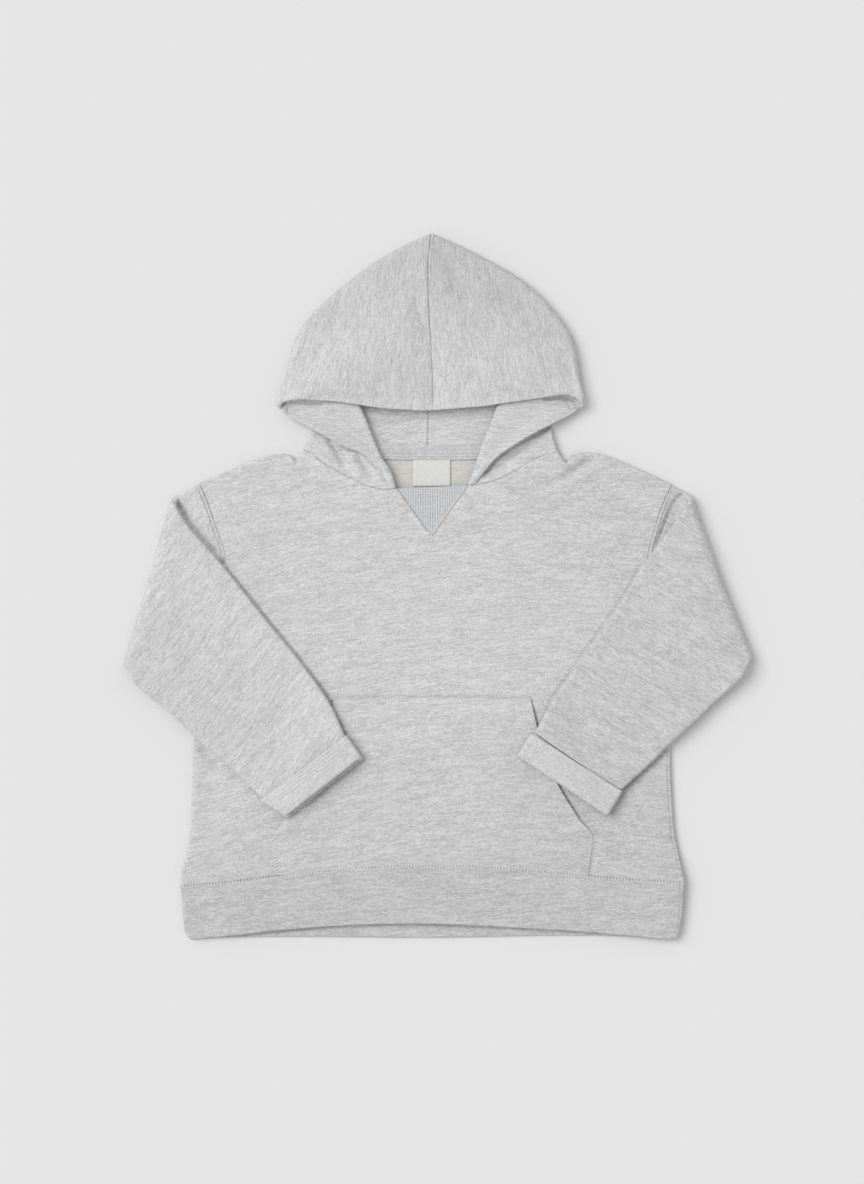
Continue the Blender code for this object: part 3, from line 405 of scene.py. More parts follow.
CROWN_LEVELS = table(
    Level,
    (10.5, 7.2, 11.4, 0, 1, 95), (12, 7.2, 11.6, 0, 1, 180), (12.6, 6.8, 11.6, 0.4, 1, 180),
    (13.4, 5.8, 11.4, 1.5, 0.85, 180), (14, 4.2, 11.2, 3, 0.55, 180),
    (14.4, 2.4, 11, 4.5, 0.2, 180), (14.4, 1.1, 11, 6, 0, 180), (14.2, 1.1, 10.6, 7, 0, 180),
    (13.8, 1.1, 10, 7.4, 0, 180), (13.4, 1.1, 9.2, 7, 0, 180), (12.8, 1.1, 8.2, 6, 0, 180),
    (12, 1.1, 7.2, 4.4, 0, 180),
)
BACK_LEVEL = HOOD_WALL / 2
NECK_FRONT_LEVEL = 4.3
ROLL_LOW = 5.5
ROLL_HIGH = 9.4
ROLL_SEWN = 8.2
NECK_FROM_V = {"left": 3.6, "right": 2.4}  # the lapels' rolled ends stop this far from the V
NECK_LAP = 1.3  # at the sides of the neck the hood reaches over the seam
LAPEL_LEVEL = 7.8
ROLL_UNDER_CROWN = 0.45  # of the way from the side to the centre back
NECK_UNDER_CROWN = 0.16
CROWN_RUN, ROLL_RUN, NECK_RUN, BACK_RUN, ARC_STEPS = 40, 18, 26, 20, 8
ROWS_BETWEEN_SECTIONS = 6
NECK_SHARES = np.linspace(0.03, 1, NECK_RUN + 1)
INSIDE_SHIFT, INSIDE_SHIFT_FROM, INSIDE_SHIFT_REACH = -3.7, 139, 25
CENTRE_SEAM = ((-4, 99), (-3.6, 138), (-5, 187), (-7, 223), (-7, 256), (-5, 276))


# Curves


def smooth(share):
    share = np.clip(share, 0, 1)
    return share * share * (3 - 2 * share)


def curve(points, shares):
    """Points at these shares of the length of a smooth curve through the given ones."""
    points = np.array(points, float)
    steps = np.linalg.norm(np.diff(points, axis=0), axis=1)
    knots = np.concatenate([[0], np.cumsum(steps)])
    slopes = np.gradient(points, knots, axis=0)
    where = np.clip(shares, 0, 1) * knots[-1]
    k = np.clip(np.searchsorted(knots, where, side="right") - 1, 0, len(steps) - 1)
    h = steps[k][:, None]
    t = ((where - knots[k]) / steps[k])[:, None]
    start = (1 + 2 * t) * (1 - t) ** 2 * points[k] + t * (1 - t) ** 2 * h * slopes[k]
    return start + t * t * (3 - 2 * t) * points[k + 1] + t * t * (t - 1) * h * slopes[k + 1]


def length_of(points):
    return np.linalg.norm(np.diff(curve(points, DENSE), axis=0), axis=1).sum()


def distance(places, line):
    """How far each place is from a line of points, in plan."""
    line = np.asarray(line, float)
    a = line[:-1]
    along = line[1:] - a
    from_a = places[..., None, :2] - a
    share = np.clip((from_a * along).sum(-1) / np.maximum((along**2).sum(-1), 1e-9), 0, 1)
    return np.linalg.norm(from_a - share[..., None] * along, axis=-1).min(-1)


def nearest(places, lines):
    """How far each place is from the nearest of these lines."""
    return np.min([distance(places, line) for line in lines], axis=0)


def inside(places, outline):
    """Whether each place is inside a closed outline, in plan."""
    outline = np.asarray(outline, float)
    ahead = np.roll(outline, -1, axis=0)
    x = places[..., 0, None]
    y = places[..., 1, None]
    spans = (outline[:, 1] > y) != (ahead[:, 1] > y)
    rise = np.where(ahead[:, 1] == outline[:, 1], 1, ahead[:, 1] - outline[:, 1])
    crossing = outline[:, 0] + (y - outline[:, 1]) / rise * (ahead[:, 0] - outline[:, 0])
    return (spans & (x < crossing)).sum(-1) % 2 == 1


def outside(places, outline):
    """How far each place is outside a closed outline, in plan."""
    return np.where(inside(places, outline), 0.0, distance(places, [*outline, outline[0]]))


def patch(bottom, top, left, right, across, up):
    """A Coons patch: a grid of rows and columns between four edges that meet at their ends."""
    u = np.asarray(across)[None, :, None]
    v = np.asarray(up)[:, None, None]
    corners = (1 - u) * (1 - v) * bottom[0] + u * (1 - v) * bottom[-1]
    corners = corners + (1 - u) * v * top[0] + u * v * top[-1]
    return (1 - v) * bottom + v * top + (1 - u) * left[:, None] + u * right[:, None] - corners


def fold_steps(length, radius):
    """Shares of a length at which it turns round a fold of this radius."""
    return radius * (1 - np.cos(FOLD_ANGLES)) / length


def between_folds(length, radius, steps):
    """Shares along a line that has a fold at each end."""
    ends = fold_steps(length, radius)
    return np.concatenate([ends[:-1], np.linspace(ends[-1], 1 - ends[-1], steps + 1), 1 - ends[-2::-1]])


# Grids


def normals_of(grid, loop, square):
    """Unit normals of a grid. square names the rims whose end face stands along an axis, or the
    corners that lie between two."""
    if loop:
        along = np.roll(grid, -1, axis=1) - np.roll(grid, 1, axis=1)
    else:
        along = np.gradient(grid, axis=1)
    up = np.gradient(grid, axis=0)
    normals = np.cross(along, up)
    for where, axis, *second in square:
        rim = along if isinstance(where[0], int) else up
        squared = np.cross(second or rim[where], axis).reshape(normals[where].shape)
        turned = np.where((squared * normals[where]).sum(-1, keepdims=True) < 0, -1, 1)
        normals[where] = squared * turned
    return normals / np.linalg.norm(normals, axis=-1, keepdims=True)


FIRST_ROW = (0, slice(None))
LAST_ROW = (-1, slice(None))
FIRST_COLUMN = (slice(None), 0)
LAST_COLUMN = (slice(None), -1)
ALONG_X, ALONG_Y, ALONG_Z = np.eye(3)


# Body. The outlines are moved to the middle of the cloth.


def moved(points, x=0.0, y=0.0):
    return np.array(points, float) + (x, y)


INWARD = {"left": 1, "right": -1}
EDGES = {}  # the side seam, armhole, shoulder and neck of each side
for side, inward in INWARD.items():
    seam, armhole = moved(SIDE[side], inward * BODY_WALL / 2), moved(ARMHOLE[side])
    shoulder, neck = moved(SHOULDER[side], 0, -BODY_WALL / 2), moved(NECK[side])
    armhole[0], armhole[-1], neck[0] = seam[-1], shoulder[0], shoulder[-1]
    EDGES[side] = (seam, armhole, shoulder, neck)
BODY_FOLDS = [curve(line, DENSE) for seam, _, shoulder, _ in EDGES.values() for line in (seam, shoulder)]
NECK_LINES = [curve(lines[3], DENSE) for lines in EDGES.values()]
ARMHOLES = [curve(lines[1], DENSE) for lines in EDGES.values()]


def fold_profile(reach, radius):
    """Height gained by cloth that comes round a fold, at this distance in from it."""
    return radius * np.sqrt(1 - (1 - np.clip(reach / radius, 0, 1)) ** 2)


def body_height(places, front):
    """Middle of the front or back wall at these places."""
    reach = nearest(places, BODY_FOLDS)
    rise = SEAM_GAP / 2 + fold_profile(reach, FOLD_RADIUS)
    if not front:
        return BODY_MIDDLE - rise
    lift = NECK_RISE * np.exp(-((nearest(places, NECK_LINES) / NECK_REACH) ** 2))
    return BODY_MIDDLE + rise + (SWELL + lift) * smooth(reach / SWELL_REACH)


def with_height(plan, height):
    return np.concatenate([plan, np.broadcast_to(height, plan.shape[:2])[..., None]], axis=2)


def along_seam(start, end, shares):
    """Points of the band seam at these shares of the way across, from one x to another."""
    x = start + (end - start) * np.asarray(shares)
    line = curve(BAND_SEAM, DENSE)
    return np.column_stack([x, np.interp(x, line[:, 0], line[:, 1])])


def body_rows(side):
    """Points up the side seam and the armhole."""
    seam, armhole = EDGES[side][:2]
    up_side = curve(seam, np.linspace(0, 1, SIDE_RUN, endpoint=False))
    return np.concatenate([up_side, curve(armhole, armhole_shares(side))])


def armhole_shares(side):
    return between_folds(length_of(EDGES[side][1]), FOLD_RADIUS, TUBE_RUN)


def shoulder_points(side):
    shoulder = EDGES[side][2]
    return curve(shoulder, (*fold_steps(length_of(shoulder), FOLD_RADIUS), *SHOULDER_SHARES))


def panel(top, front):
    left, right = body_rows("left"), body_rows("right")
    across = (top[:, 0] - top[0, 0]) / (top[-1, 0] - top[0, 0])
    up = (left[:, 1] - left[0, 1]) / (left[-1, 1] - left[0, 1])
    seam = along_seam(left[0, 0], right[0, 0], across)
    left[0], right[0] = seam[0], seam[-1]
    plan = patch(seam, top, left, right, across, up)
    return with_height(plan, body_height(plan, front))


SHOULDER_POINTS = len(SHOULDER_SHARES) + len(FOLD_ANGLES)
BODY_RIMS = [
    (FIRST_ROW, ALONG_Y),
    (LAST_ROW, ALONG_Y),
    ((-1, slice(0, SHOULDER_POINTS + 1)), ALONG_Z),
    ((-1, slice(-SHOULDER_POINTS - 1, None)), ALONG_Z),
]
for column, corner in ((0, (1, -1, 0)), (-1, (1, 1, 0))):
    BODY_RIMS += [
        ((slice(None), column), ALONG_X),
        ((slice(0, SIDE_RUN + 1), column), ALONG_Z),
        ((SIDE_RUN, column), ALONG_Z, corner),
        ((-1, column), ALONG_Z, ALONG_X),
    ]


def body_front(finish):
    tops = {}
    for side, (_, _, _, neck) in EDGES.items():
        shares = np.concatenate([fold_steps(length_of(neck), FOLD_RADIUS)[:-1], NECK_SHARES])
        into_v = curve([neck[-1], V_TIP], np.linspace(0, 1, V_RUN + 1)[1:-1])
        tops[side] = np.concatenate([shoulder_points(side), curve(neck, shares), into_v])
    top = np.concatenate([tops["left"], [V_TIP], tops["right"][::-1]])
    cloth("body_front", panel(top, True), BODY_WALL, finish, square=BODY_RIMS, rims=SEAM_SHARE)


def body_back(finish):
    line = [EDGES["left"][3][0], *BACK_NECK[1:-1], EDGES["right"][3][0]]
    neck = curve(line, between_folds(length_of(line), FOLD_RADIUS, BACK_NECK_RUN))
    top = np.concatenate([shoulder_points("left"), neck, shoulder_points("right")[::-1]])
    cloth("body_back", panel(top, False), BODY_WALL, finish, square=BODY_RIMS, rims=SEAM_SHARE)


BAND_RIMS = ((FIRST_ROW, ALONG_Y), (LAST_ROW, ALONG_Y), (FIRST_COLUMN, ALONG_Z), (LAST_COLUMN, ALONG_Z))


def hem_band(name, hem, front, finish):
    left, right = (
        curve(moved(BAND_END[side], INWARD[side] * BAND_WALL / 2), BAND_ROWS) for side in BAND_END
    )
    across = between_folds(right[-1, 0] - left[-1, 0], BAND_FOLD_RADIUS, BAND_RUN)
    seam = along_seam(left[-1, 0], right[-1, 0], across)
    left[-1], right[-1] = seam[0], seam[-1]
    edge = np.array(hem, float)
    left[0] = edge[0] = (left[0, 0], edge[0, 1])
    right[0] = edge[-1] = (right[0, 0], edge[-1, 1])
    plan = patch(curve(edge, across), seam, left, right, across, BAND_ROWS)
    reach = nearest(plan, (left, right))
    rise = SEAM_GAP / 2 + fold_profile(reach, BAND_FOLD_RADIUS)
    middle = BAND_WALL / 2 + BAND_FOLD_RADIUS + SEAM_GAP / 2
    height = middle + rise + SWELL * smooth(reach / SWELL_REACH) if front else middle - rise
    rims = RIM_SHARE + (SEAM_SHARE - RIM_SHARE) * np.broadcast_to(BAND_ROWS[:, None], reach.shape)
    cloth(name, with_height(plan, height), BAND_WALL, finish, square=BAND_RIMS, rims=rims)


SEWN_SIDES = {side: [p for p in line if p[1] < POCKET_OPENING] for side, line in POCKET_SIDE.items()}
OPENINGS = {side: [p for p in line if p[1] > POCKET_OPENING] for side, line in POCKET_SIDE.items()}
POCKET_LOW = along_seam(POCKET_SIDE["left"][0][0], POCKET_SIDE["right"][0][0], DENSE)
POCKET_RIM_SHARE = 0.7
POCKET_SEWN_SHARE = 0.3  # of the wall that is left where the pocket is sewn down
POCKET_SEWN_REACH = 13.0
SEWN_GAP = 0.05
SEWN_DIP = 0.55
SEWN_DIP_REACH = 4.0


def pocket_sewn(places, reach):
    """From 0 at the pocket's sewn edges to 1 away from them."""
    return smooth(nearest(places, (POCKET_TOP, *SEWN_SIDES.values(), POCKET_LOW)) / reach)


def pocket(finish):
    left, right = (curve(line, POCKET_UP) for line in POCKET_SIDE.values())
    bottom = along_seam(left[0, 0], right[0, 0], POCKET_ACROSS)
    left[0], right[0] = bottom[0], bottom[-1]
    plan = patch(bottom, curve(POCKET_TOP, POCKET_ACROSS), left, right, POCKET_ACROSS, POCKET_UP)
    free = pocket_sewn(plan, POCKET_SEWN_REACH)
    # The cloth stands a little open along the two slanted edges.
    lift = POCKET_LIFT * (1 - smooth(nearest(plan, OPENINGS.values()) / POCKET_LIFT_REACH))
    low = (1 + POCKET_SEWN_SHARE) / 2 * BODY_WALL + SEWN_GAP
    height = low + (BODY_WALL + LAYER_GAP - low) * free + lift * free
    grid = with_height(plan, body_height(plan, True) + height)
    full = POCKET_SEWN_SHARE + (1 - POCKET_SEWN_SHARE) * free
    cloth("pocket", grid, BODY_WALL, finish, rims=POCKET_RIM_SHARE, full=full)


def neck_gusset(finish):
    corners = np.array([NECK["left"][-1], NECK["right"][-1], V_TIP], float)
    sides = np.linalg.norm(np.roll(corners, -1, axis=0) - np.roll(corners, 1, axis=0), axis=1)
    centre = (corners * sides[:, None]).sum(0) / sides.sum()
    edge, other = corners[1] - corners[0], corners[2] - corners[0]
    inradius = abs(edge[0] * other[1] - edge[1] * other[0]) / sides.sum()
    left, right, tip = centre + (corners - centre) * (1 - GUSSET_INSET / inradius)
    down = GUSSET_ROWS[:, None, None]
    over = GUSSET_ACROSS[None, :, None]
    plan = (1 - down) * ((1 - over) * left + over * right) + down * tip
    grid = with_height(plan, body_height(plan, True))
    cloth("neck_gusset", grid, BODY_WALL, finish, square=((FIRST_ROW, ALONG_Y),))


def strip(name, xs, ys, height, finish):
    """A small flat piece: places across it, and a row of places up it for each line of it."""
    plan = np.stack([np.broadcast_to(xs, ys.shape), ys], axis=-1)
    cloth(name, with_height(plan, height), TRIM_WALL, finish)


def neck_tape(finish):
    xs = TAPE_SPAN[0] + (TAPE_SPAN[1] - TAPE_SPAN[0]) * TAPE_ACROSS
    line = curve(BACK_NECK, DENSE)
    seam = np.interp(xs, line[:, 0], line[:, 1])
    strip("neck_tape", xs, seam + TAPE_UP[:, None], TAPE_HEIGHT, finish)


def neck_label(finish):
    xs = np.linspace(*LABEL_SPAN, LABEL_RUN[0])
    ys = np.linspace(LABEL_BOTTOM, BACK_NECK[3][1] - TAPE_BELOW_SEAM, LABEL_RUN[1])
    strip("neck_label", xs, np.broadcast_to(ys[:, None], LABEL_RUN[::-1]), LABEL_HEIGHT, finish)


# Sleeves


def rests_on(places):
    """Height of what a folded sleeve lies on."""
    (left_seam, left_arm, *_), (right_seam, right_arm, *_) = EDGES.values()
    beyond = outside(places, np.concatenate([left_seam, left_arm, right_arm[::-1], right_seam[::-1]]))
    for side, sleeve in SLEEVES.items():
        armhole = EDGES[side][1]
        under = np.array([armhole[0], armhole[-1], sleeve.fold_top, sleeve.fold_bottom])
        beyond = np.minimum(beyond, outside(places, under))
    top = BODY_HEIGHT + SWELL
    height = top + (OVERHANG_HEIGHT - top) * smooth(beyond / OVERHANG)
    beside_pocket = outside(places, [*POCKET_SIDE["left"], *POCKET_SIDE["right"][::-1]])
    near, run = POCKET_BEDDING
    return height + POCKET_TOP_ABOVE_FRONT * (1 - smooth((beside_pocket - near) / run))


def frame_of(sleeve):
    """The fold line's start, its direction and the direction across it, away from the body."""
    start = np.array(sleeve.fold_top)
    along = np.array(sleeve.fold_bottom) - start
    length = np.linalg.norm(along)
    along = along / length
    across = np.array((along[1], -along[0]))
    if across[0] * start[0] < 0:
        across = -across
    return start, along, across, length


def unfolded(points, sleeve, beyond):
    """Places in plan as (across, along) the fold line, with what is folded over opened out."""
    start, along, across, _ = frame_of(sleeve)
    offset = np.asarray(points, float) - start
    return np.stack([offset @ across * (-1 if beyond else 1), offset @ along], axis=-1)


def fold_over(flat, sleeve, clearance):
    """Folds points of the opened sleeve, (across, along, height), about its fold line."""
    start, along, across, length = frame_of(sleeve)
    u, s, n = flat[..., 0], flat[..., 1], flat[..., 2]
    down = np.clip(s / length, 0, 1)
    axis = FOLD_AXIS_SHOULDER + (FOLD_AXIS_ELBOW - FOLD_AXIS_SHOULDER) * down
    turn = np.pi * np.clip((u + axis) / (2 * axis), 0, 1)
    inward = np.where(u < -axis, -u, np.where(u > axis, u, axis - (axis - n) * np.sin(turn)))
    near = (1 - np.clip(np.abs(inward) / BOW_REACH, 0, 1)) ** 2
    inward = inward + sleeve.bow * near * np.sin(np.pi * down)
    plan = start + s[..., None] * along - inward[..., None] * across
    high = 2 * axis - BODY_HEIGHT
    settled = smooth((u - axis) / SETTLE)
    base = high + (rests_on(plan) + clearance - high) * settled
    height = np.where(u < axis, axis - (axis - n) * np.cos(turn), base + BODY_HEIGHT - n)
    return np.concatenate([plan, height[..., None]], axis=-1)


def tube_ring(top, under, steps, bend, swell_up, swell_down, widen=0.0):
    """One ring of a flattened tube, over its upper wall and back along its lower one.

    top and under are its two edges as (across, along). bend gives how far its middle is moved at
    each share of its width, and widen stands it off a tube inside it.
    """
    width = np.linalg.norm(under - top)
    shares = between_folds(width, SLEEVE_FOLD_RADIUS, steps)
    direction = (under - top) / width
    span = width - BODY_WALL
    line = top + direction * (BODY_WALL / 2) + np.outer(shares, direction * span) + bend(shares)
    line = line + np.outer((2 * shares - 1) * widen, direction)
    reach = np.minimum(shares, 1 - shares) * span
    half = fold_profile(reach, SLEEVE_FOLD_RADIUS) * (SLEEVE_FOLD_RADIUS + widen) / SLEEVE_FOLD_RADIUS
    full = smooth(reach / SWELL_REACH) * SWELL
    over = np.column_stack([line, BODY_MIDDLE + half + swell_up * full])
    back = np.column_stack([line, BODY_MIDDLE - half - swell_down * full])
    return np.concatenate([over, back[-2:0:-1]])


def sleeve_lines(side):
    """The upper and under edges of the opened sleeve as dense (across, along) lines."""
    sleeve = SLEEVES[side]
    armhole = EDGES[side][1]
    lines = []
    for body_end, folded in ((armhole[-1], sleeve.inner), (armhole[0], sleeve.outer)):
        beyond = unfolded(curve(folded, DENSE), sleeve, True)
        lines.append(np.vstack([unfolded([body_end], sleeve, False), beyond[beyond[:, 0] > 0]]))
    return lines


def on_line(line, across):
    return np.array((across, np.interp(across, line[:, 0], line[:, 1])))


def stations(start, end):
    """Where the rings stand along a sleeve: beside the armhole, round the fold, then to the end.
    start and end are places on its upper and under edge."""
    fold = np.array((FOLD_AXIS_SHOULDER, FOLD_AXIS_ELBOW))
    rows = [Station(*(start + step), 1.0, 0.0, SLEEVE_LENGTH) for step in BESIDE_SEAM]
    start = np.array(rows[-1][:2])
    for share in BESIDE_SHARES:
        rows.append(Station(*(start + (-fold - start) * share), 1 - share, 0.0, SLEEVE_LENGTH))
    for share in FOLD_SHARES:
        rows.append(Station(*(fold * share), 0.0, (share + 1) / 2, SLEEVE_LENGTH))
    for share in SLEEVE_SHARES:
        rows.append(Station(*(fold + (end - fold) * share), 0.0, 1.0, (1 - share) * SLEEVE_LENGTH))
    return rows


def sleeve(side, finish):
    name = "sleeve_" + side
    shape = SLEEVES[side]
    lines = sleeve_lines(side)
    shares = armhole_shares(side)
    seam = unfolded(curve(EDGES[side][1], shares), shape, False)[::-1]
    shares = 1 - shares[::-1]
    bend = seam - (seam[0] + np.outer(shares, seam[-1] - seam[0]))

    def bent(places):
        return np.column_stack([np.interp(places, shares, way) for way in bend.T]) * row.bent

    rings = []
    for row in stations(*(np.array([line[end, 0] for line in lines]) for end in (0, -1))):
        top, under = on_line(lines[0], row.top), on_line(lines[1], row.under)
        near_fold = max(0, 1 - (row.under / ELBOW_ROUNDING_REACH) ** 2)
        under = under - (0, ELBOW_ROUNDING * near_fold)
        ring = tube_ring(top, under, TUBE_RUN, bent, 1 - row.turned, row.turned)
        cuff_rise = CUFF_STEP * (1 - smooth(row.to_end / CUFF_STEP_REACH))
        rings.append(fold_over(ring, shape, REST_CLEARANCE + cuff_rise))
    grid = np.array(rings)
    # The opened part beside the armhole creases under the folded part.
    opened = np.arange(len(rings)) < len(BESIDE_SEAM) + len(BESIDE_SHARES) + len(FOLD_SHARES) // 3
    lift = np.where(opened[:, None], upper(grid) * dents(grid, "wedge_" + side), relief(name, grid))
    if side == "right":
        lift = lift + elbow_lift(grid)
    square = ((FIRST_ROW, ALONG_X),)
    cloth(name, grid, BODY_WALL, finish, loop=True, square=square, lift=lift, rims=SEAM_SHARE)


def cuff(side, finish):
    """The sleeve's end, turned up once: an inner wall, a fold at the opening and an outer wall."""
    shape = SLEEVES[side]
    starts = np.array([line[-1] for line in sleeve_lines(side)])
    ends = unfolded([shape.end_inner, shape.end_outer], shape, True)
    deep = np.linalg.norm(ends - starts, axis=1).mean()
    fold = CUFF_STEP / 2
    fold_at = deep - CUFF_WALL / 2 - fold
    path = [(CUFF_START + (fold_at - CUFF_START) * share, 0.0) for share in CUFF_SHARES[:-1]]
    for angle in CUFF_FOLD_ANGLES:
        path.append((deep - CUFF_WALL / 2 - fold * (1 - math.sin(angle)), fold * (1 - math.cos(angle))))
    path += [(fold_at - (fold_at + CUFF_OVERLAP) * share, CUFF_STEP) for share in CUFF_SHARES[1:]]
    rings = []
    for k, (reach, widen) in enumerate(path):
        tilt = CUFF_TILT[side] * max(0, k - len(path) + len(CUFF_SHARES)) / (len(CUFF_SHARES) - 1)
        shares = np.array((reach + tilt, reach)) / deep
        top, under = starts + (ends - starts) * shares[:, None]
        ring = tube_ring(top, under, CUFF_RUN, lambda places: 0, 0, 1, widen)
        rings.append(fold_over(ring, shape, REST_CLEARANCE + CUFF_STEP))
    grid = np.array(rings)
    onward = np.subtract(shape.end_inner, shape.inner[-1])
    reaches = np.array([reach for reach, _ in path]) / deep
    lower = (1 - upper(grid)) * smooth(reaches)[:, None] * CUFF_UNDER[side]
    grid[..., :2] += lower[..., None] * onward / np.hypot(*onward)
    cloth("cuff_" + side, grid, CUFF_WALL, finish, loop=True)


# Hood


def seam_x(y):
    """The hood's centre seam wanders a little."""
    line = curve(CENTRE_SEAM, DENSE)
    return np.interp(y, line[:, 1], line[:, 0])


def back_seam_x(y):
    """Below the dome the seam runs further to the left."""
    return seam_x(y) + INSIDE_SHIFT * (1 - smooth((y - INSIDE_SHIFT_FROM) / INSIDE_SHIFT_REACH))


def straight(start, end, steps):
    """Points from start to just before end."""
    return start + np.linspace(0, 1, steps, endpoint=False)[:, None] * (end - start)


def arc(tip, out, low, high, turn=180.0):
    """Points round a fold, from above to below. out is the way that it bulges, in plan, and the
    cloth's outer side reaches the tip."""
    radius = (high - low) / 2
    angles = np.radians(np.linspace(turn - 90, -90, ARC_STEPS + 1))
    centre = np.asarray(tip) - np.multiply(out, radius + HOOD_WALL / 2)
    plan = centre + np.outer(np.cos(angles), out) * radius
    return np.column_stack([plan, (low + high) / 2 + radius * np.sin(angles)])


def outward(points, k, toward_x):
    """Unit normal in plan of a line of points at its point k, on the side of the sign of x."""
    along = np.subtract(points[min(k + 1, len(points) - 1)], points[max(k - 1, 0)])
    normal = np.array((along[1], -along[0])) / np.hypot(*along)
    return normal if normal[0] * toward_x > 0 else -normal


def chord_bend(line, steps):
    """How far a curved line's points stand from its chord."""
    shares = np.linspace(0, 1, steps, endpoint=False)
    points = curve(line, shares)
    chord = points[0] + np.outer(shares, np.array(line[-1], float) - points[0])
    return np.column_stack([points - chord, np.zeros(steps)])


def at_back(row):
    """Where a section ends, at the centre back."""
    return np.array((back_seam_x(row.back_y), row.back_y, BACK_LEVEL))


def lapel_sections(side):
    """From the neck seam to the corner: the lapel, its roll, and the cloth under it to the back."""
    out_x, lapels, neck_line = -INWARD[side], LAPELS[side], EDGES[side][3]
    rolls = [(row.roll_x, row.roll_y) for row in lapels]
    necks = [(row.neck_x, row.neck_y) for row in lapels]
    neck_back = [neck_line[0], *(BACK_NECK[1:4] if side == "left" else BACK_NECK[-2:2:-1])]
    from_v = 1 - NECK_FROM_V[side] / length_of(neck_line)
    seam = curve(neck_line, np.linspace(from_v, NECK_SHARES[0], len(NECK_SHARES)))
    for k, row in enumerate(lapels):
        first = k == 0
        back = at_back(row)
        roll = arc(rolls[k], outward(rolls, k, -out_x), ROLL_LOW, ROLL_SEWN if first else ROLL_HIGH)
        neck = arc(necks[k], outward(necks, k, out_x), BACK_LEVEL, NECK_FRONT_LEVEL)
        if first:
            roll[:, :2] += seam[0] - roll[-1, :2]
            neck[:, 1] -= NECK_LAP
        edge = np.array((row.edge_x, row.edge_y, LAPEL_LEVEL))
        over = roll[0] - edge
        inner = edge + over * row.strip / max(row.strip + 1, np.hypot(*over[:2]))
        down = straight(roll[-1], neck[0], NECK_RUN)
        under = straight(neck[-1], back, BACK_RUN)
        if first:
            down[1:, :2] = seam[1:-1]
            down[1:, 2] = body_height(down[1:], True) - (HOOD_WALL - BODY_WALL) / 2
            under = under + chord_bend(neck_back, BACK_RUN)
        front = (straight(edge, inner, CROWN_RUN + ARC_STEPS), straight(inner, roll[0], ROLL_RUN))
        yield np.concatenate([*front, roll[:-1], down, neck[:-1], under, [back]])


def crown_sections(side):
    """From the corner to the centre seam: the crown, its side, and the cloth under it to the back."""
    crowns = CROWNS[side]
    sides = [(row.side_x, row.side_y) for row in crowns]
    for k, (row, level) in enumerate(zip(crowns, CROWN_LEVELS)):
        last = k == len(crowns) - 1
        side_out = ALONG_Y[:2] if last else outward(sides, k, -INWARD[side])
        shoulder = arc(sides[k], side_out, level.side_low, level.side_high, level.turn)
        back = at_back(row)
        crown = straight(np.array((row.edge_x, row.edge_y, level.edge)), shoulder[0], CROWN_RUN)
        shares = np.linspace(0, 1, CROWN_RUN, endpoint=False)
        crown[:, 2] += level.crown * np.sin(np.pi * shares) ** 2
        rest = back - shoulder[-1]
        toward = rest[:2] / np.hypot(*rest[:2])
        roll = arc((shoulder[-1] + rest * ROLL_UNDER_CROWN)[:2], toward, ROLL_LOW, ROLL_HIGH)
        neck_at = (shoulder[-1] + rest * NECK_UNDER_CROWN)[:2]
        neck = arc(neck_at, -toward, BACK_LEVEL, NECK_FRONT_LEVEL)
        folded = [straight(shoulder[-1], roll[0], ROLL_RUN), roll[:-1]]
        folded += [straight(roll[-1], neck[0], NECK_RUN), neck[:-1]]
        folded = np.concatenate([*folded, straight(neck[-1], back, BACK_RUN), [back]])
        flat = shoulder[-1] + np.linspace(0, 1, len(folded))[:, None] * rest
        points = np.concatenate([crown, shoulder[:-1], flat + (folded - flat) * level.folded])
        if last:
            points[:, 0] = seam_x(points[:, 1])
        yield points


def hood_grid(side):
    """The hood's sections with more rows between them."""
    sections = [*lapel_sections(side), *crown_sections(side)]
    rows = len(sections)
    flat = np.reshape(sections, (rows, -1))
    knots = np.concatenate([[0], np.cumsum(np.linalg.norm(np.diff(flat, axis=0), axis=1))])
    at = np.linspace(0, rows - 1, (rows - 1) * ROWS_BETWEEN_SECTIONS + 1)
    shares = np.interp(at, np.arange(rows), knots) / knots[-1]
    return curve(flat, shares).reshape(len(at), -1, 3), at


LAPEL_COLUMNS = CROWN_RUN + ARC_STEPS + ROLL_RUN + ARC_STEPS // 2
DOME_COLUMNS = CROWN_RUN + ARC_STEPS // 2
DOME_MIDDLE = -4.5
DOME_LOW, DOME_HIGH = 140, 275
DOME_FAN = 0.35
DOME_SLUMP = 3.0  # the middle of the dome's front edge lies lower than its solid
DOME_SLUMP_HALF, DOME_SLUMP_FROM, DOME_SLUMP_REACH = 60, 137, 45
LAPEL_FADE = 24  # the lapel's creases end this many columns from its roll
NECK_CREASE_FROM, NECK_CREASE_REACH = 2.4, 1.2
HOOD_RIM_SHARE = 0.6


def run_along(points, axis):
    """How far along each of these lines of points its points are."""
    start = np.take(points, [0], axis=axis)
    return np.cumsum(np.linalg.norm(np.diff(points, axis=axis, prepend=start), axis=-1), axis=axis)


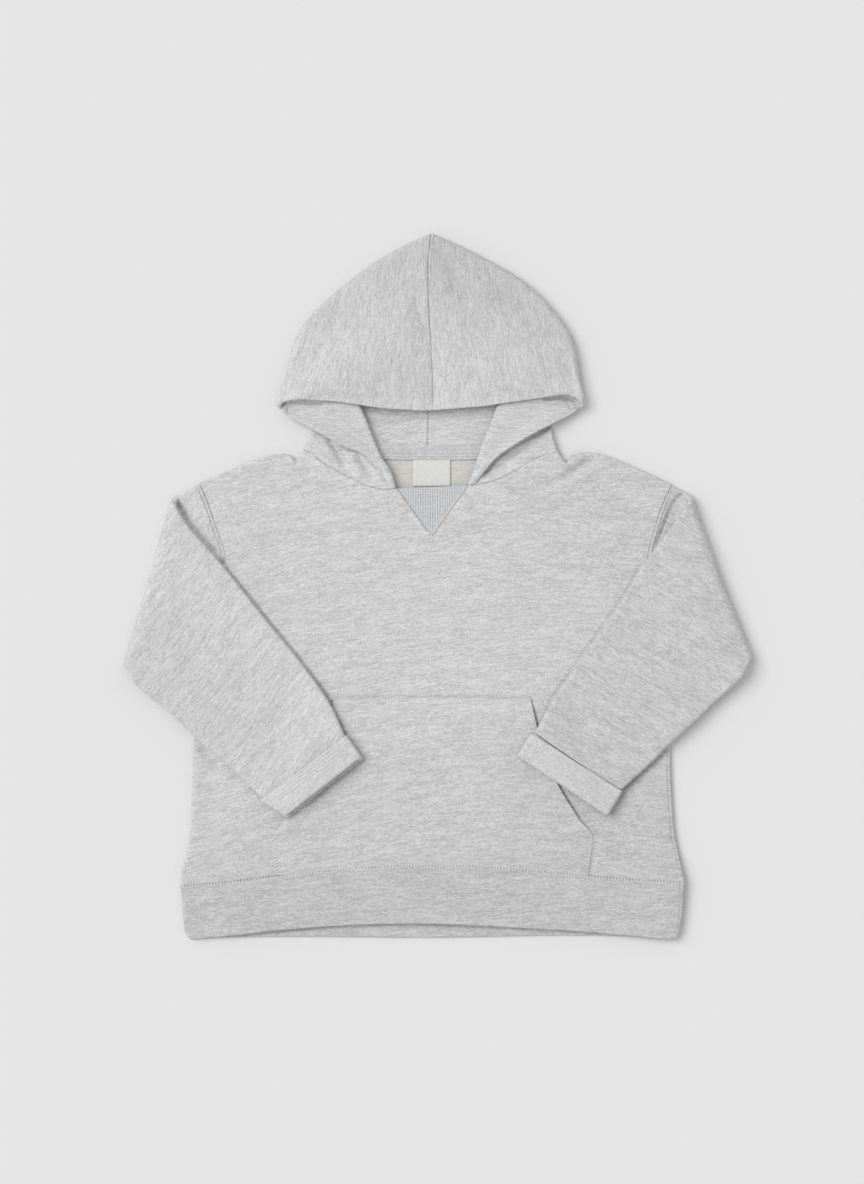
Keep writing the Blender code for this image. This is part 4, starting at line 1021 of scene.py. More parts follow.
def hood(side, finish):
    name = "hood_" + side
    grid, at = hood_grid(side)
    x, y, z = np.moveaxis(grid, -1, 0)
    column = np.arange(grid.shape[1])[None, :]
    lapel_rows = at[:, None] < len(LAPELS[side])
    dome = ~lapel_rows & (column <= DOME_COLUMNS)
    lapel = lapel_rows & (column <= LAPEL_COLUMNS)
    under = lapel_rows & (column > LAPEL_COLUMNS)
    narrowed = 1 - DOME_FAN * np.clip((y - DOME_LOW) / (DOME_HIGH - DOME_LOW), 0, 1)
    fan = np.stack([y, (x - DOME_MIDDLE) / narrowed, z], axis=-1)
    over = run_along(grid, 1)
    laid = np.stack([over, np.broadcast_to(run_along(grid[:, 0], 0)[:, None], over.shape), z], axis=-1)
    streaks = np.where(dome[..., None], fan, planar(grid, STREAK_ANGLES[name]))
    streaks = np.where(lapel[..., None], laid, streaks)
    slump = np.exp(-(((x - DOME_MIDDLE) / DOME_SLUMP_HALF) ** 2))
    slump = slump * (1 - smooth((y - DOME_SLUMP_FROM) / DOME_SLUMP_REACH))
    lift = np.where(dome, dents(grid, "dome") + dome_sway(grid) - DOME_SLUMP * slump, 0)
    to_roll = smooth((LAPEL_COLUMNS - column) / LAPEL_FADE)
    lift = lift + np.where(lapel, dents(grid, "lapel") * to_roll, 0)
    shown = smooth((z - NECK_CREASE_FROM) / NECK_CREASE_REACH)
    lift = lift + np.where(under, dents(grid, "neck") * shown, 0)
    square = ((FIRST_ROW, ALONG_Y), (LAST_ROW, ALONG_X), (LAST_COLUMN, ALONG_X))
    cloth(
        name, grid, HOOD_WALL, finish, square=square, lift=lift, streaks=streaks, rims=HOOD_RIM_SHARE
    )


# Creases. Each row is a soft trough, or a ridge where the depth is negative, from one place to
# another: x and y of its start, x and y of its end, depth and width.
CREASES = {
    "body_front": (
        (122, 100.5, 113, 93, 2.2, 3.4), (115, 94, 97, 83, 2, 3.4), (99, 84, 82, 78, 2, 4),
        (124, 92, 106, 80, -1.8, 4.4), (115, 101, 93, 89.5, -3.2, 4), (-121, 101, -112, 97, 1.3, 3.4),
        (-109.5, 92.5, -96, 87.5, 1.9, 3.2), (-134, 93, -128, 89, 1.4, 5),
        (-177, -124, -176, -189, 0.7, 8), (60, 66, 92, 58, 0.9, 7), (150, 60, 120, 48, 0.8, 8),
    ),
    "body_back": (
        (-70, 70, -20, 52, 0.8, 9), (60, 40, 110, 20, 0.7, 10), (-120, -60, -60, -78, 0.7, 9),
        (10, -120, 80, -104, 0.6, 8),
    ),
    "wedge_left": (
        (-207, 69, -165, 19, 1.4, 5),
    ),
    "wedge_right": (
        (193, 74, 180, 48, 3.2, 7), (185, 54, 172, 28, 2.4, 6.5),
    ),
    "sleeve_left": (
        (-118, -133, -115, -147, 1, 4), (-225, -20, -190, -34, 0.6, 9), (-160, -60, -120, -96, 0.4, 10),
    ),
    "sleeve_right": (
        (108, -96, 124, -108, 0.8, 3), (121, -119, 129, -121, 1, 3), (160, -128, 170, -131, 0.8, 3),
        (97, -93, 129, -117, 0.6, 6), (215, -10, 190, -45, 0.6, 9), (130, -132, 139, -150, 1.3, 5),
    ),
    "dome": (
        (-17, 226, -14, 207, 2.4, 4.5), (8, 262, 22, 222, 3, 9), (24, 184, 16, 175, 0.8, 6),
        (-57, 215, -67, 204, 0.8, 8), (-10, 247, -1, 245, 0.9, 2.5), (-12, 237, -2, 235, 0.8, 2.5),
        (-10, 227, -1, 225, 0.8, 2.5), (37, 142, 38, 148, 0.7, 1.8), (42.5, 142, 43, 149, 0.7, 1.8),
        (70, 145, 71, 151, 0.7, 1.8), (84, 151, 106, 149, -3.4, 6), (-118, 147, -96, 148, -1.6, 6),
        (-120, 142, -117, 136, 0.8, 2.5), (-115, 141, -112, 134, 0.8, 2.5),
    ),
    "lapel": (
        (-104, 124, -66, 105, -4.6, 9), (92, 128, 36, 90, -5, 10), (-119, 141, -108, 141, 1.2, 4),
        (88, 146, 108, 145, 1.8, 5),
    ),
    "neck": (
        (-82, 113, -72, 94, 3.2, 3.4), (-95, 104, -84, 95, -1.2, 5), (-70, 103, -62, 88, -1, 3.5),
        (-61, 103, -51, 83, 2.4, 3.4), (-47, 92, -44, 83, -1, 4), (88, 125, 40, 89, 2.8, 5),
        (93, 104, 91, 132, -3, 6),
    ),
}
# Slight unevenness, as waves: height, turns across, turns up and phase
FRONT_WAVES = (
    (0.16, 0.052, 0.021, 0.4), (0.13, -0.031, 0.060, 1.9), (0.10, 0.083, -0.047, 3.2),
    (0.08, 0.104, 0.092, 5.1),
)
DOME_WAVES = (
    (0.22, 0.071, 0.043, 0.9), (0.16, -0.092, 0.066, 2.4), (0.12, 0.141, -0.038, 4),
)
CREASE_ENDS = 0.3  # of a crease's depth that is left at its ends
CREASE_BANKS = 0.6  # how much the cloth rises beside a crease


def waves(places, rows):
    x, y = places[..., 0], places[..., 1]
    return sum(height * np.sin(x * across + y * up + phase) for height, across, up, phase in rows)


def dents(places, name):
    """Height that the creases add at these places."""
    total = np.zeros(places.shape[:-1])
    for x0, y0, x1, y1, depth, width in CREASES.get(name, ()):
        start = np.array((x0, y0))
        along = (x1, y1) - start
        offset = places[..., :2] - start
        share = np.clip(offset @ along / (along @ along), 0, 1)
        away = np.linalg.norm(offset - share[..., None] * along, axis=-1) / width
        taper = CREASE_ENDS + (1 - CREASE_ENDS) * np.sin(np.pi * share)
        total -= depth * taper * (1 - CREASE_BANKS * away**2) * np.exp(-(away**2))
    return total


FRONT_LEVEL = 0.2  # what the front's waves are lowered by
FOLD_FLAT, FOLD_SWAY, ARM_FLAT, ARM_SWAY = 3, 40, 1, 25  # it lies flat near its folds and armholes
END_LIFT = 4.0  # the right end of the band stands a little off the surface
END_FROM = (135, -192)
END_REACH = (50, 40)
ELBOW_LIFT = 3.0  # the right sleeve stands off the surface beside its elbow
ELBOW_EDGE = ((240, -70), (203, -104))
ELBOW_LIFT_REACH = 16
DOME_STILL, DOME_SWAY_REACH = 145, 40
UPPER_REACH = 1.5  # from a tube's middle up to where all of its point counts as on the upper side
SLEEVE_SWAY = 0.8  # the sleeves have this share of the dome's waves


def front_sway(places):
    """The front of the body lies a little unevenly, but not at its folds."""
    flat = smooth((nearest(places, BODY_FOLDS) - FOLD_FLAT) / FOLD_SWAY)
    flat = flat * smooth((nearest(places, ARMHOLES) - ARM_FLAT) / ARM_SWAY)
    return (waves(places, FRONT_WAVES) - FRONT_LEVEL) * flat


def end_lift(places):
    along = smooth((places[..., 0] - END_FROM[0]) / END_REACH[0])
    return END_LIFT * along * smooth((END_FROM[1] - places[..., 1]) / END_REACH[1])


def elbow_lift(places):
    return ELBOW_LIFT * np.exp(-((distance(places, ELBOW_EDGE) / ELBOW_LIFT_REACH) ** 2))


def dome_sway(places):
    return waves(places, DOME_WAVES) * smooth((places[..., 1] - DOME_STILL) / DOME_SWAY_REACH)


def upper(grid):
    """Which points of a lying tube are on its upper side."""
    middle = grid[..., 2].mean(axis=1, keepdims=True)
    return smooth((grid[..., 2] - middle) / UPPER_REACH)


def relief(name, grid):
    if name in ("body_front", "pocket", "hem_band_front", "neck_gusset"):
        total = front_sway(grid) + dents(grid, "body_front") + end_lift(grid)
        if name in ("body_front", "pocket"):
            total = total - SEWN_DIP * (1 - pocket_sewn(grid, SEWN_DIP_REACH))
        if name == "neck_gusset":
            total = total + RIB_HEIGHT * np.cos(2 * np.pi * (grid[..., 0] - V_TIP[0]) / RIB_PITCH)
        return total
    if name.startswith(("sleeve", "cuff")):
        creased = dents(grid, name.replace("cuff", "sleeve"))
        return upper(grid) * (creased + SLEEVE_SWAY * waves(grid, DOME_WAVES))
    total = dents(grid, name)
    return total + end_lift(grid) if name in ("body_back", "hem_band_back") else total


RIB_PITCH = 1.9
RIB_ROW = 2.0
RIB_HEIGHT = 0.16
STREAK_BEND = 0.00045  # the streaks of the front rise more toward its left
STREAK_ANGLES = {  # in degrees
    "body_front": 7, "body_back": 4, "hem_band_front": 4, "hem_band_back": 3, "pocket": 7,
    "neck_gusset": 0, "neck_tape": 0, "neck_label": 0, "sleeve_left": 52, "sleeve_right": -27,
    "cuff_left": 52, "cuff_right": -33, "hood_left": 3, "hood_right": 3,
}


def planar(grid, degrees):
    """Where each point lies in the cloth: along the streaks, across them, and its height."""
    turn = math.radians(degrees)
    x, y, z = grid[..., 0], grid[..., 1], grid[..., 2]
    along = x * math.cos(turn) + y * math.sin(turn)
    return np.stack([along, y * math.cos(turn) - x * math.sin(turn), z], axis=-1)


def with_rims(grid, loop):
    """Adds lines close to the free edges, so that the cloth can be rounded there."""
    for axis in (0,) if loop else (0, 1):
        lines = np.moveaxis(grid, axis, 0)
        beside = []
        for edge, ahead in ((0, 1), (-1, -2)):
            step = lines[ahead] - lines[edge]
            gap = np.linalg.norm(step[..., :3], axis=-1).mean()
            beside.append([lines[edge] + step * s / gap for s in RIM_STEPS if s < RIM_ROOM * gap])
        parts = [lines[:1], *(b[None] for b in beside[0]), lines[1:-1]]
        parts += [*(b[None] for b in reversed(beside[1])), lines[-1:]]
        grid = np.moveaxis(np.concatenate(parts), 0, axis)
    return grid


def rim_distance(points, loop):
    """How far each point is from the nearest free edge, along the cloth."""
    reaches = []
    for axis in (0,) if loop else (0, 1):
        along = run_along(points, axis)
        reaches += [along, np.take(along, [-1], axis=axis) - along]
    return np.min(reaches, axis=0)


def shell_faces(rows, columns, loop):
    """Faces of a closed shell: an outer grid of points, then an inner one."""
    count = rows * columns

    def ribbon(a, b):
        """Faces that join two points of the outer grid to the same ones of the inner grid."""
        return np.stack([a, b, b + count, a + count], axis=-1)

    i = np.arange(rows - 1)[:, None] * columns
    j = np.arange(columns if loop else columns - 1)
    k = (j + 1) % columns
    quads = np.stack([i + j, i + k, i + columns + k, i + columns + j], axis=-1).reshape(-1, 4)
    end = (rows - 1) * columns
    faces = [quads, quads[:, ::-1] + count, ribbon(k, j), ribbon(end + j, end + k)]
    if not loop:
        i = i[:, 0]
        faces += [ribbon(i, i + columns), ribbon(i + 2 * columns - 1, i + columns - 1)]
    return np.concatenate(faces), len(quads)


SHELLS = {}


def cloth(
    name, grid, wall, finish, loop=False, square=(), lift=None, streaks=None, rims=RIM_SHARE, full=1.0
):
    """A closed thin shell about a grid of points at the middle of the cloth. full is the share of
    the wall at each point, and rims the share of that at the free edges."""
    normals = normals_of(grid, loop, square)
    lift = relief(name, grid) if lift is None else lift
    streaks = planar(grid, STREAK_ANGLES[name]) if streaks is None else streaks
    if name in ("body_front", "pocket"):
        streaks[..., 1] += STREAK_BEND * grid[..., 0] ** 2
    lifted = grid + lift[..., None] * ALONG_Z
    sizes = [np.broadcast_to(size, lift.shape)[..., None] for size in (rims, full)]
    whole = with_rims(np.concatenate([lifted, normals, streaks, *sizes], axis=-1), loop)
    points, normals, streaks, rims, full = np.split(whole, (3, 6, 9, 10), axis=-1)
    normals = normals / np.linalg.norm(normals, axis=-1, keepdims=True)
    share = np.clip(rim_distance(points, loop) / RIM_REACH, 0, 1)[..., None]
    half = wall / 2 * full * (rims + (1 - rims) * np.sqrt(1 - (1 - share) ** 2))
    vertices = np.concatenate([points + half * normals, points - half * normals]).reshape(-1, 3)
    faces, outer = shell_faces(*points.shape[:2], loop)
    a, b, c, d = (vertices[faces[:, n]] for n in range(4))
    if (np.cross(a, b) * c).sum() + (np.cross(a, c) * d).sum() < 0:
        faces = faces[:, ::-1]
    made, data = new_object(name + "_cloth", vertices, faces.tolist(), *finish)
    inner_side = np.zeros(len(faces), dtype=np.int32)
    inner_side[outer : 2 * outer] = len(finish) - 1
    data.polygons.foreach_set("material_index", inner_side)
    attribute = data.attributes.new("cloth", "FLOAT_VECTOR", "POINT")
    place = np.concatenate([streaks.reshape(-1, 3)] * 2) * MM
    attribute.data.foreach_set("vector", place.astype(np.float32).ravel())
    SHELLS[name] = made


def new_object(name, vertices, faces, *finish):
    data = bpy.data.meshes.new(name)
    data.from_pydata((np.asarray(vertices) * MM).tolist(), [], faces)
    data.shade_smooth()
    for one in finish:
        data.materials.append(one)
    made = bpy.data.objects.new(name, data)
    bpy.context.scene.collection.objects.link(made)
    return made, data


# Stitches. A seam is a row of them: along or across its line, or under the garment.
Seam = namedtuple(
    "Seam", "thread on line pitch length radius shift across below", defaults=(0.0, False, False)
)
TREES = {}
BELOW_ALL, ABOVE_ALL = -20, 60  # heights from which the surface is looked for


def tree_of(name):
    if name not in TREES:
        data = SHELLS[name].data
        vertices = [vertex.co / MM for vertex in data.vertices]
        TREES[name] = BVHTree.FromPolygons(vertices, [face.vertices[:] for face in data.polygons])
    return TREES[name]


def surface(x, y, names, below):
    """Height of the outermost of these pieces at a place, or None beside them all."""
    best = None
    for name in names:
        start, up = (BELOW_ALL, 1) if below else (ABOVE_ALL, -1)
        hit = tree_of(name).ray_cast(Vector((x, y, start)), Vector((0, 0, up)))[0]
        if hit and (best is None or (hit.z < best) == below):
            best = hit.z
    return best


HALF_CHORD = 0.5  # a line's direction is taken between places this far behind and ahead


def spread(line, pitch):
    """Places set evenly along a line, with the line's direction at each."""
    line = np.asarray(line, float)
    knots = np.concatenate([[0], np.cumsum(np.linalg.norm(np.diff(line, axis=0), axis=1))])

    def at(where):
        return np.column_stack([np.interp(where, knots, way) for way in line.T])

    count = max(1, int(knots[-1] / pitch))
    where = (np.arange(count) + 0.5) * knots[-1] / count
    way = at(np.minimum(where + HALF_CHORD, knots[-1])) - at(where - HALF_CHORD)
    return at(where), way / np.linalg.norm(way, axis=1, keepdims=True)


def beside(line, shift):
    """A line moved to its right."""
    line = np.asarray(line, float)
    way = np.gradient(line, axis=0)
    way /= np.linalg.norm(way, axis=1, keepdims=True)
    return line + shift * np.column_stack([way[:, 1], -way[:, 0]])


# Lines pressed into the cloth. A negative depth is a ridge. With a pitch, the line dips once at
# each stitch. A tuck of one side, 1 for its right and -1 for its left, moves only the cloth there.
Tuck = namedtuple("Tuck", "line depth width pitch below side", defaults=(0.0, False, 0))
FINE = 0.9  # edges longer than this are divided beside a tuck
BROAD = 2.0  # a tuck as wide as this needs no division
LINE_STEP = 0.4  # between the places that a tuck is worked out at
DIVIDED_WIDTHS, DIVIDED_MORE = 1.8, 1.0  # cloth this many widths and this much more away is divided
FELT_WIDTHS = 3  # and a tuck moves cloth this many widths away
CUTS_BESIDE_TUCK = 3
STITCHED_MEAN, STITCHED_SWING = 0.65, 0.35  # how a tuck's depth goes up and down along its stitches
SIDE_SOFTNESS = 0.5  # across a tuck of one side, its depth goes from none to all over this distance


def tuck_field(name, tuck):
    """The places along a tuck, with the depth and the direction at each."""
    places, ways = spread(tuck.line, LINE_STEP)
    tree = KDTree(len(places))
    for k, (x, y) in enumerate(places):
        height = surface(x, y, (name,), tuck.below)
        if height is not None:
            tree.insert((x, y, height), k)
    tree.balance()
    length = np.linalg.norm(np.diff(np.asarray(tuck.line, float), axis=0), axis=1).sum()
    turns = max(1, int(length / tuck.pitch)) if tuck.pitch else 0
    shares = (np.arange(len(places)) + 0.5) / len(places)
    depths = tuck.depth * (STITCHED_MEAN + STITCHED_SWING * np.cos(2 * np.pi * turns * shares))
    return tree, tuck, depths, places, ways


def press(name, tucks):
    """Divides a shell more finely beside these lines and presses them in."""
    made = SHELLS[name]
    mesh = bmesh.new()
    mesh.from_mesh(made.data)
    fields = [tuck_field(name, tuck) for tuck in tucks]
    edges = set()
    for face in mesh.faces:
        centre = face.calc_center_median() / MM
        for tree, tuck, *_ in fields:
            shown = (face.normal.z > 0) != tuck.below
            away = tree.find(centre)[2] if shown and tuck.width < BROAD else None
            if away is not None and away < DIVIDED_WIDTHS * tuck.width + DIVIDED_MORE:
                edges.update(edge for edge in face.edges if edge.calc_length() > FINE * MM)
                break
    edges = [edge for edge in mesh.edges if edge in edges]
    bmesh.ops.subdivide_edges(mesh, edges=edges, cuts=CUTS_BESIDE_TUCK, use_grid_fill=True)
    for vertex in mesh.verts:
        place = vertex.co / MM
        dip = 0.0
        for tree, tuck, depths, places, ways in fields:
            _, k, away = tree.find(place)
            if away is None or away > FELT_WIDTHS * tuck.width:
                continue
            depth = depths[k] * math.exp(-((away / tuck.width) ** 2))
            if tuck.side:
                right = (place.x - places[k][0]) * ways[k][1] - (place.y - places[k][1]) * ways[k][0]
                depth *= smooth(0.5 + tuck.side * right / SIDE_SOFTNESS)
            dip += -depth if tuck.below else depth
        vertex.co.z = max(place.z - dip, min(place.z, 0.0)) * MM
    mesh.to_mesh(made.data)
    mesh.free()
    TREES.pop(name, None)


# A stitch: the points round each of its rings, then each ring's place, from one end at -1 to the
# other at 1, and its size and rise as shares of the thread's radius
THREAD_SIDES = 6
THREAD_SHARES = np.array((-1.0, -0.72, -0.3, 0.3, 0.72, 1.0))
THREAD_WIDTHS = np.array((0.25, 0.8, 1.0, 1.0, 0.8, 0.25))
THREAD_RISE = np.array((-0.7, 0.1, 0.55, 0.55, 0.1, -0.7))


def one_stitch(place, way, seam):
    """Rings of points round one stitch, or nothing where there is no cloth under it."""
    side = np.array((way[1], -way[0]))
    middle = place + seam.shift * side
    reach = side if seam.across else way
    plan = middle + np.outer(THREAD_SHARES, reach) * seam.length / 2
    up = -1 if seam.below else 1
    heights = [surface(x, y, seam.on, seam.below) for x, y in plan]
    if heights[0] is None or heights[-1] is None:
        return None
    chord = np.interp(THREAD_SHARES, (-1, 1), (heights[0], heights[-1]))
    lie = [c if h is None else (max(h, c) if up > 0 else min(h, c)) for h, c in zip(heights, chord)]
    centre = np.column_stack([plan, np.array(lie) + up * THREAD_RISE * seam.radius])
    turns = np.linspace(0, 2 * np.pi, THREAD_SIDES, endpoint=False)
    cross = np.array((-reach[1], reach[0], 0))
    round_ = np.outer(np.cos(turns), cross) + np.outer(np.sin(turns), ALONG_Z)
    return centre[:, None] + round_[None] * (THREAD_WIDTHS * seam.radius)[:, None, None]


def sew(name, seams):
    """One object with all the stitches of these seams."""
    rings, sides = len(THREAD_SHARES), THREAD_SIDES
    one = [
        (a + j, a + (j + 1) % sides, a + sides + (j + 1) % sides, a + sides + j)
        for a in range(0, (rings - 1) * sides, sides)
        for j in range(sides)
    ]
    one += [tuple(range(sides))[::-1], tuple(range((rings - 1) * sides, rings * sides))]
    vertices, faces = [], []
    for seam in seams:
        for place, way in zip(*spread(seam.line, seam.pitch)):
            stitch = one_stitch(place, way, seam)
            if stitch is not None:
                faces.extend(tuple(v + len(vertices) for v in face) for face in one)
                vertices.extend(stitch.reshape(-1, 3))
    made, _ = new_object(name, vertices, faces, seams[0].thread)
    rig.ride(made, "root")
    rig.slot(made, "fleece")
    return made


# Materials


def linear(*srgb):
    """A colour given as it shows, from 0 to 255, in the renderer's own numbers."""
    share = [c / 255 for c in srgb]
    return (*(c / 12.92 if c <= 0.04045 else ((c + 0.055) / 1.055) ** 2.4 for c in share), 1.0)


def node(tree, kind, inputs=None, **settings):
    made = tree.nodes.new("ShaderNode" + kind)
    for key, value in settings.items():
        setattr(made, key, value)
    for key, value in (inputs or {}).items():
        if isinstance(value, bpy.types.NodeSocket):
            tree.links.new(value, made.inputs[key])
        else:
            made.inputs[key].default_value = value
    return made


def new_material(name, roughness, specular=0.2):
    made = bpy.data.materials.new(name)
    made.use_nodes = True
    tree = made.node_tree
    shader = tree.nodes["Principled BSDF"]
    shader.inputs["Roughness"].default_value = roughness
    shader.inputs["Specular IOR Level"].default_value = specular
    return made, tree, shader


def maths(tree, operation, a, b):
    return node(tree, "Math", {0: a, 1: b}, operation=operation).outputs[0]


def ranged(tree, value, low, high):
    """From 0 where the value is low to 1 where it is high."""
    inputs = {"Value": value, "From Min": low, "From Max": high}
    return node(tree, "MapRange", inputs, interpolation_type="SMOOTHSTEP").outputs["Result"]


def noise(tree, place, scale, detail=2.0, shift=0.0, roughness=0.5):
    at = node(tree, "Mapping", {"Vector": place, "Scale": scale, "Location": (shift,) * 3})
    inputs = {"Vector": at.outputs[0], "Scale": 1.0, "Detail": detail, "Roughness": roughness}
    return node(tree, "TexNoise", inputs).outputs["Fac"]


def blend(tree, factor, a, b, **settings):
    return node(tree, "Mix", {0: factor, "A": a, "B": b}, data_type="RGBA", **settings).outputs["Result"]


def dress(tree, shader, colour, height, distance, strength):
    """Gives a surface its colour and its fine relief."""
    tree.links.new(colour, shader.inputs["Base Color"])
    bump = node(tree, "Bump", {"Height": height, "Distance": distance, "Strength": strength})
    tree.links.new(bump.outputs["Normal"], shader.inputs["Normal"])


# Noises of the fleece. Each has its scale along the streaks, across them and in depth, its detail
# and its shift. The streaks then have their strength, and the grain its roughness.
STREAKS = (
    ((36, 190, 190), 1.0, 1.3, 0.65),
    ((105, 560, 560), 1.0, 3.1, 1.1),
    ((260, 950, 950), 1.0, 7.7, 1.25),
)
RIDGES = ((60, 620, 620), 1.0, 5.5)
GRAIN = ((820, 820, 820), 2.0, 9.2, 0.8)
GRAIN_STRENGTH = 2.1
LIGHT_FIBRE, DARK_FIBRE = 17, -20  # how far the fibres' tones lie from the cloth's


def fleece(name, colour, streak, fades):
    """Melange fleece: short soft streaks along the knit, faint ridges and a fine grain. A fade
    darkens it along an axis, from one place to another, by a share."""
    made, tree, shader = new_material(name, 0.96)
    place = node(tree, "Attribute", attribute_name="cloth").outputs["Vector"]
    ridges, grain = noise(tree, place, *RIDGES), noise(tree, place, *GRAIN)
    parts = [(noise(tree, place, *row), strength * streak) for *row, strength in STREAKS]
    dark = 0.5
    for value, share in (*parts, (grain, GRAIN_STRENGTH)):
        about = maths(tree, "SUBTRACT", value, 0.5)
        dark = maths(tree, "ADD", dark, maths(tree, "MULTIPLY", about, share))
    axes = node(tree, "SeparateXYZ", {"Vector": place}).outputs
    light, deep = (linear(*(c + step for c in colour)) for step in (LIGHT_FIBRE, DARK_FIBRE))
    mixed = blend(tree, dark, light, deep)
    for axis, start, end, share in fades:
        faded = (1 - share, 1 - share, 1 - share, 1)
        mixed = blend(tree, ranged(tree, axes[axis], start, end), mixed, faded, blend_type="MULTIPLY")
    rough = maths(tree, "ADD", *(maths(tree, "MULTIPLY", part, 0.5) for part in (ridges, grain)))
    dress(tree, shader, mixed, rough, 0.0009, 0.6)
    shader.inputs["Sheen Weight"].default_value = 0.05
    shader.inputs["Sheen Roughness"].default_value = 0.6
    return made


RIB_DARK, RIB_LIGHT = (167, 172, 177), (221, 223, 224)
WALE_SHADE, ROW_SHADE, BREAK_SHADE = 0.27, 0.08, 1.05


def rib_knit(name):
    """Fine bluish rib: narrow wales broken by its rows."""
    made, tree, shader = new_material(name, 0.93)
    place = node(tree, "Attribute", attribute_name="cloth").outputs["Vector"]
    across, up, _ = node(tree, "SeparateXYZ", {"Vector": place}).outputs

    def cosine(value, pitch, start=0.0):
        phase = maths(tree, "MULTIPLY", value, 2 * math.pi / (pitch * MM))
        return maths(tree, "COSINE", maths(tree, "SUBTRACT", phase, start * 2 * math.pi / pitch), 0.0)

    breaks = noise(tree, place, (650, 650, 650))
    shade = maths(tree, "MULTIPLY", cosine(across, RIB_PITCH, V_TIP[0]), WALE_SHADE)
    shade = maths(tree, "ADD", shade, maths(tree, "MULTIPLY", cosine(up, RIB_ROW), ROW_SHADE))
    factor = maths(tree, "ADD", shade, maths(tree, "MULTIPLY", breaks, BREAK_SHADE))
    mixed = blend(tree, factor, linear(*RIB_DARK), linear(*RIB_LIGHT))
    dress(tree, shader, mixed, breaks, 0.0005, 0.5)
    return made


def plain(name, srgb, grain=3000, contrast=10):
    """A closely woven or spun surface with a fine grain."""
    made, tree, shader = new_material(name, 0.7)
    place = node(tree, "TexCoord").outputs["Object"]
    fac = ranged(tree, noise(tree, place, (grain, grain, grain)), 0.3, 0.7)
    deep, light = (linear(*(c + step for c in srgb)) for step in (-contrast / 2, contrast / 2))
    dress(tree, shader, blend(tree, fac, deep, light), fac, 0.0002, 0.5)
    return made


def grey(tone):
    return (tone, tone, tone)


# Each fleece has its colour, the strength of its streaks and its fades. The front and the pocket are
# a little darker toward their lower end and right side. The hood's fade toward its top is painted
# shade, where its crown slopes away from the light, and it is stronger on its right half.
FLEECES = {
    "body": (grey(208), 1.0, ((1, -0.12, -0.21, 0.08), (0, 0.02, 0.17, 0.05))),
    "pocket": (grey(208), 1.0, ((1, -0.09, -0.19, 0.05), (0, -0.02, 0.07, 0.035))),
    "band": (grey(195), 1.0, ()),
    "hood_left": (grey(209), 1.0, ((0, 0.15, 0.26, 0.09),)),
    "hood_right": (grey(209), 1.0, ((0, 0.15, 0.25, 0.14),)),
    "inside": ((211, 208.5, 203), 0.35, ()),
    "sleeve_left": (grey(210), 1.0, ((0, -0.11, -0.18, 0.05),)),
    # The right sleeve's darker grey is painted shade, for a sleeve that faces away from the light.
    "sleeve_right": (grey(200), 1.0, ()),
    "cuff_left": (grey(210), 0.55, ()),
    "cuff_right": (grey(207), 0.55, ()),
    "tape": (grey(203), 0.6, ()),
}
fleeces = {name: fleece("fleece_" + name, *row) for name, row in FLEECES.items()}
rib = rib_knit("rib_knit")
woven = plain("woven_label", (222, 222, 219), 1400)
yarn = plain("sewing_thread", (214, 214, 213), contrast=16)
cord = plain("gusset_cord", (219, 219, 218))
pale_yarn = plain("seam_thread", (230, 230, 229))

# The shells. A finish is the material of the outer side, or those of the outer and inner sides.
body_front((fleeces["body"], fleeces["inside"]))
body_back((fleeces["inside"], fleeces["body"]))
hem_band("hem_band_front", FRONT_HEM, True, (fleeces["band"],))
hem_band("hem_band_back", BACK_HEM, False, (fleeces["band"],))
pocket((fleeces["pocket"],))
neck_gusset((rib,))
neck_tape((fleeces["tape"],))
neck_label((woven,))
for side in INWARD:
    sleeve(side, (fleeces["sleeve_" + side],))
    cuff(side, (fleeces["cuff_" + side],))
    hood(side, (fleeces["hood_" + side],))


def edge_line(points, start=0.0, end=1.0):
    return curve(points, np.linspace(start, end, 121))


band_line = edge_line(BAND_SEAM, 0.004, 0.996)
SIDE_SEAM = (  # the right side seam shows a little in from the fold
    (179.2, -126), (180.4, -163.8), (181.8, -183.5), (183.2, -197.2), (186.5, -211.4),
    (188.2, -220), (189.4, -236), (188.9, -252), (187.2, -268),
)
LAPEL_STITCHING = {
    "left": (
        ((-73.5, 129.5), (-64, 122.5), (-55.2, 114.7), (-49.2, 106.9)),
        ((-81.3, 125.1), (-65.7, 115.6), (-53.5, 108.7), (-48.3, 103.5)),
    ),
    "right": (((80.4, 135), (62, 122), (42.1, 111.5)), ((83, 132), (64, 119), (43.5, 108.5))),
}
POCKET_HEM = {  # where the hem of each slanted opening is sewn
    "left": ((-64.5, -91), (-70, -115), (-79, -140), (-91, -163), (-104, -182), (-112, -198)),
    "right": ((58.7, -91), (62.8, -110), (72.6, -135.3), (79.8, -162.8), (96.5, -191), (110.8, -204.6)),
}
CUFF_STITCHING = ((-124.5, -164.5), (-73.5, -128.5))
CUFF_LIP = ((-130.2, -167.2), (-119.2, -173.8))
CUFF_TOP = ((102, -133.4), (141.3, -159.6))
CORNER_CREASES = {
    "left": (((-122.5, 138), (-119.4, 142)), ((-116.8, 135), (-116.3, 141.5))),
    "right": (((101.5, 143), (104.9, 136.5)), ((107.5, 142.5), (109.5, 138.5))),
}
CENTRE_TOP = [(x, y) for x, y in curve(CENTRE_SEAM, DENSE) if y > 217]
CENTRE_LOW = [(x, y) for x, y in curve(CENTRE_SEAM, DENSE) if 141 < y < 219]
INSIDE_SEAM = [(back_seam_x(y), y) for y in np.linspace(108.5, 138, 40)]
LEFT_INNER, RIGHT_INNER = SLEEVES["left"].inner, SLEEVES["right"].inner
LEFT_END = (SLEEVES["left"].end_inner, SLEEVES["left"].end_outer)
LAPEL_EDGES = {side: [(row.edge_x, row.edge_y) for row in rows[1:6]] for side, rows in LAPELS.items()}
LEFT_WEDGE = ((-204, 63), *LEFT_INNER[1:4])
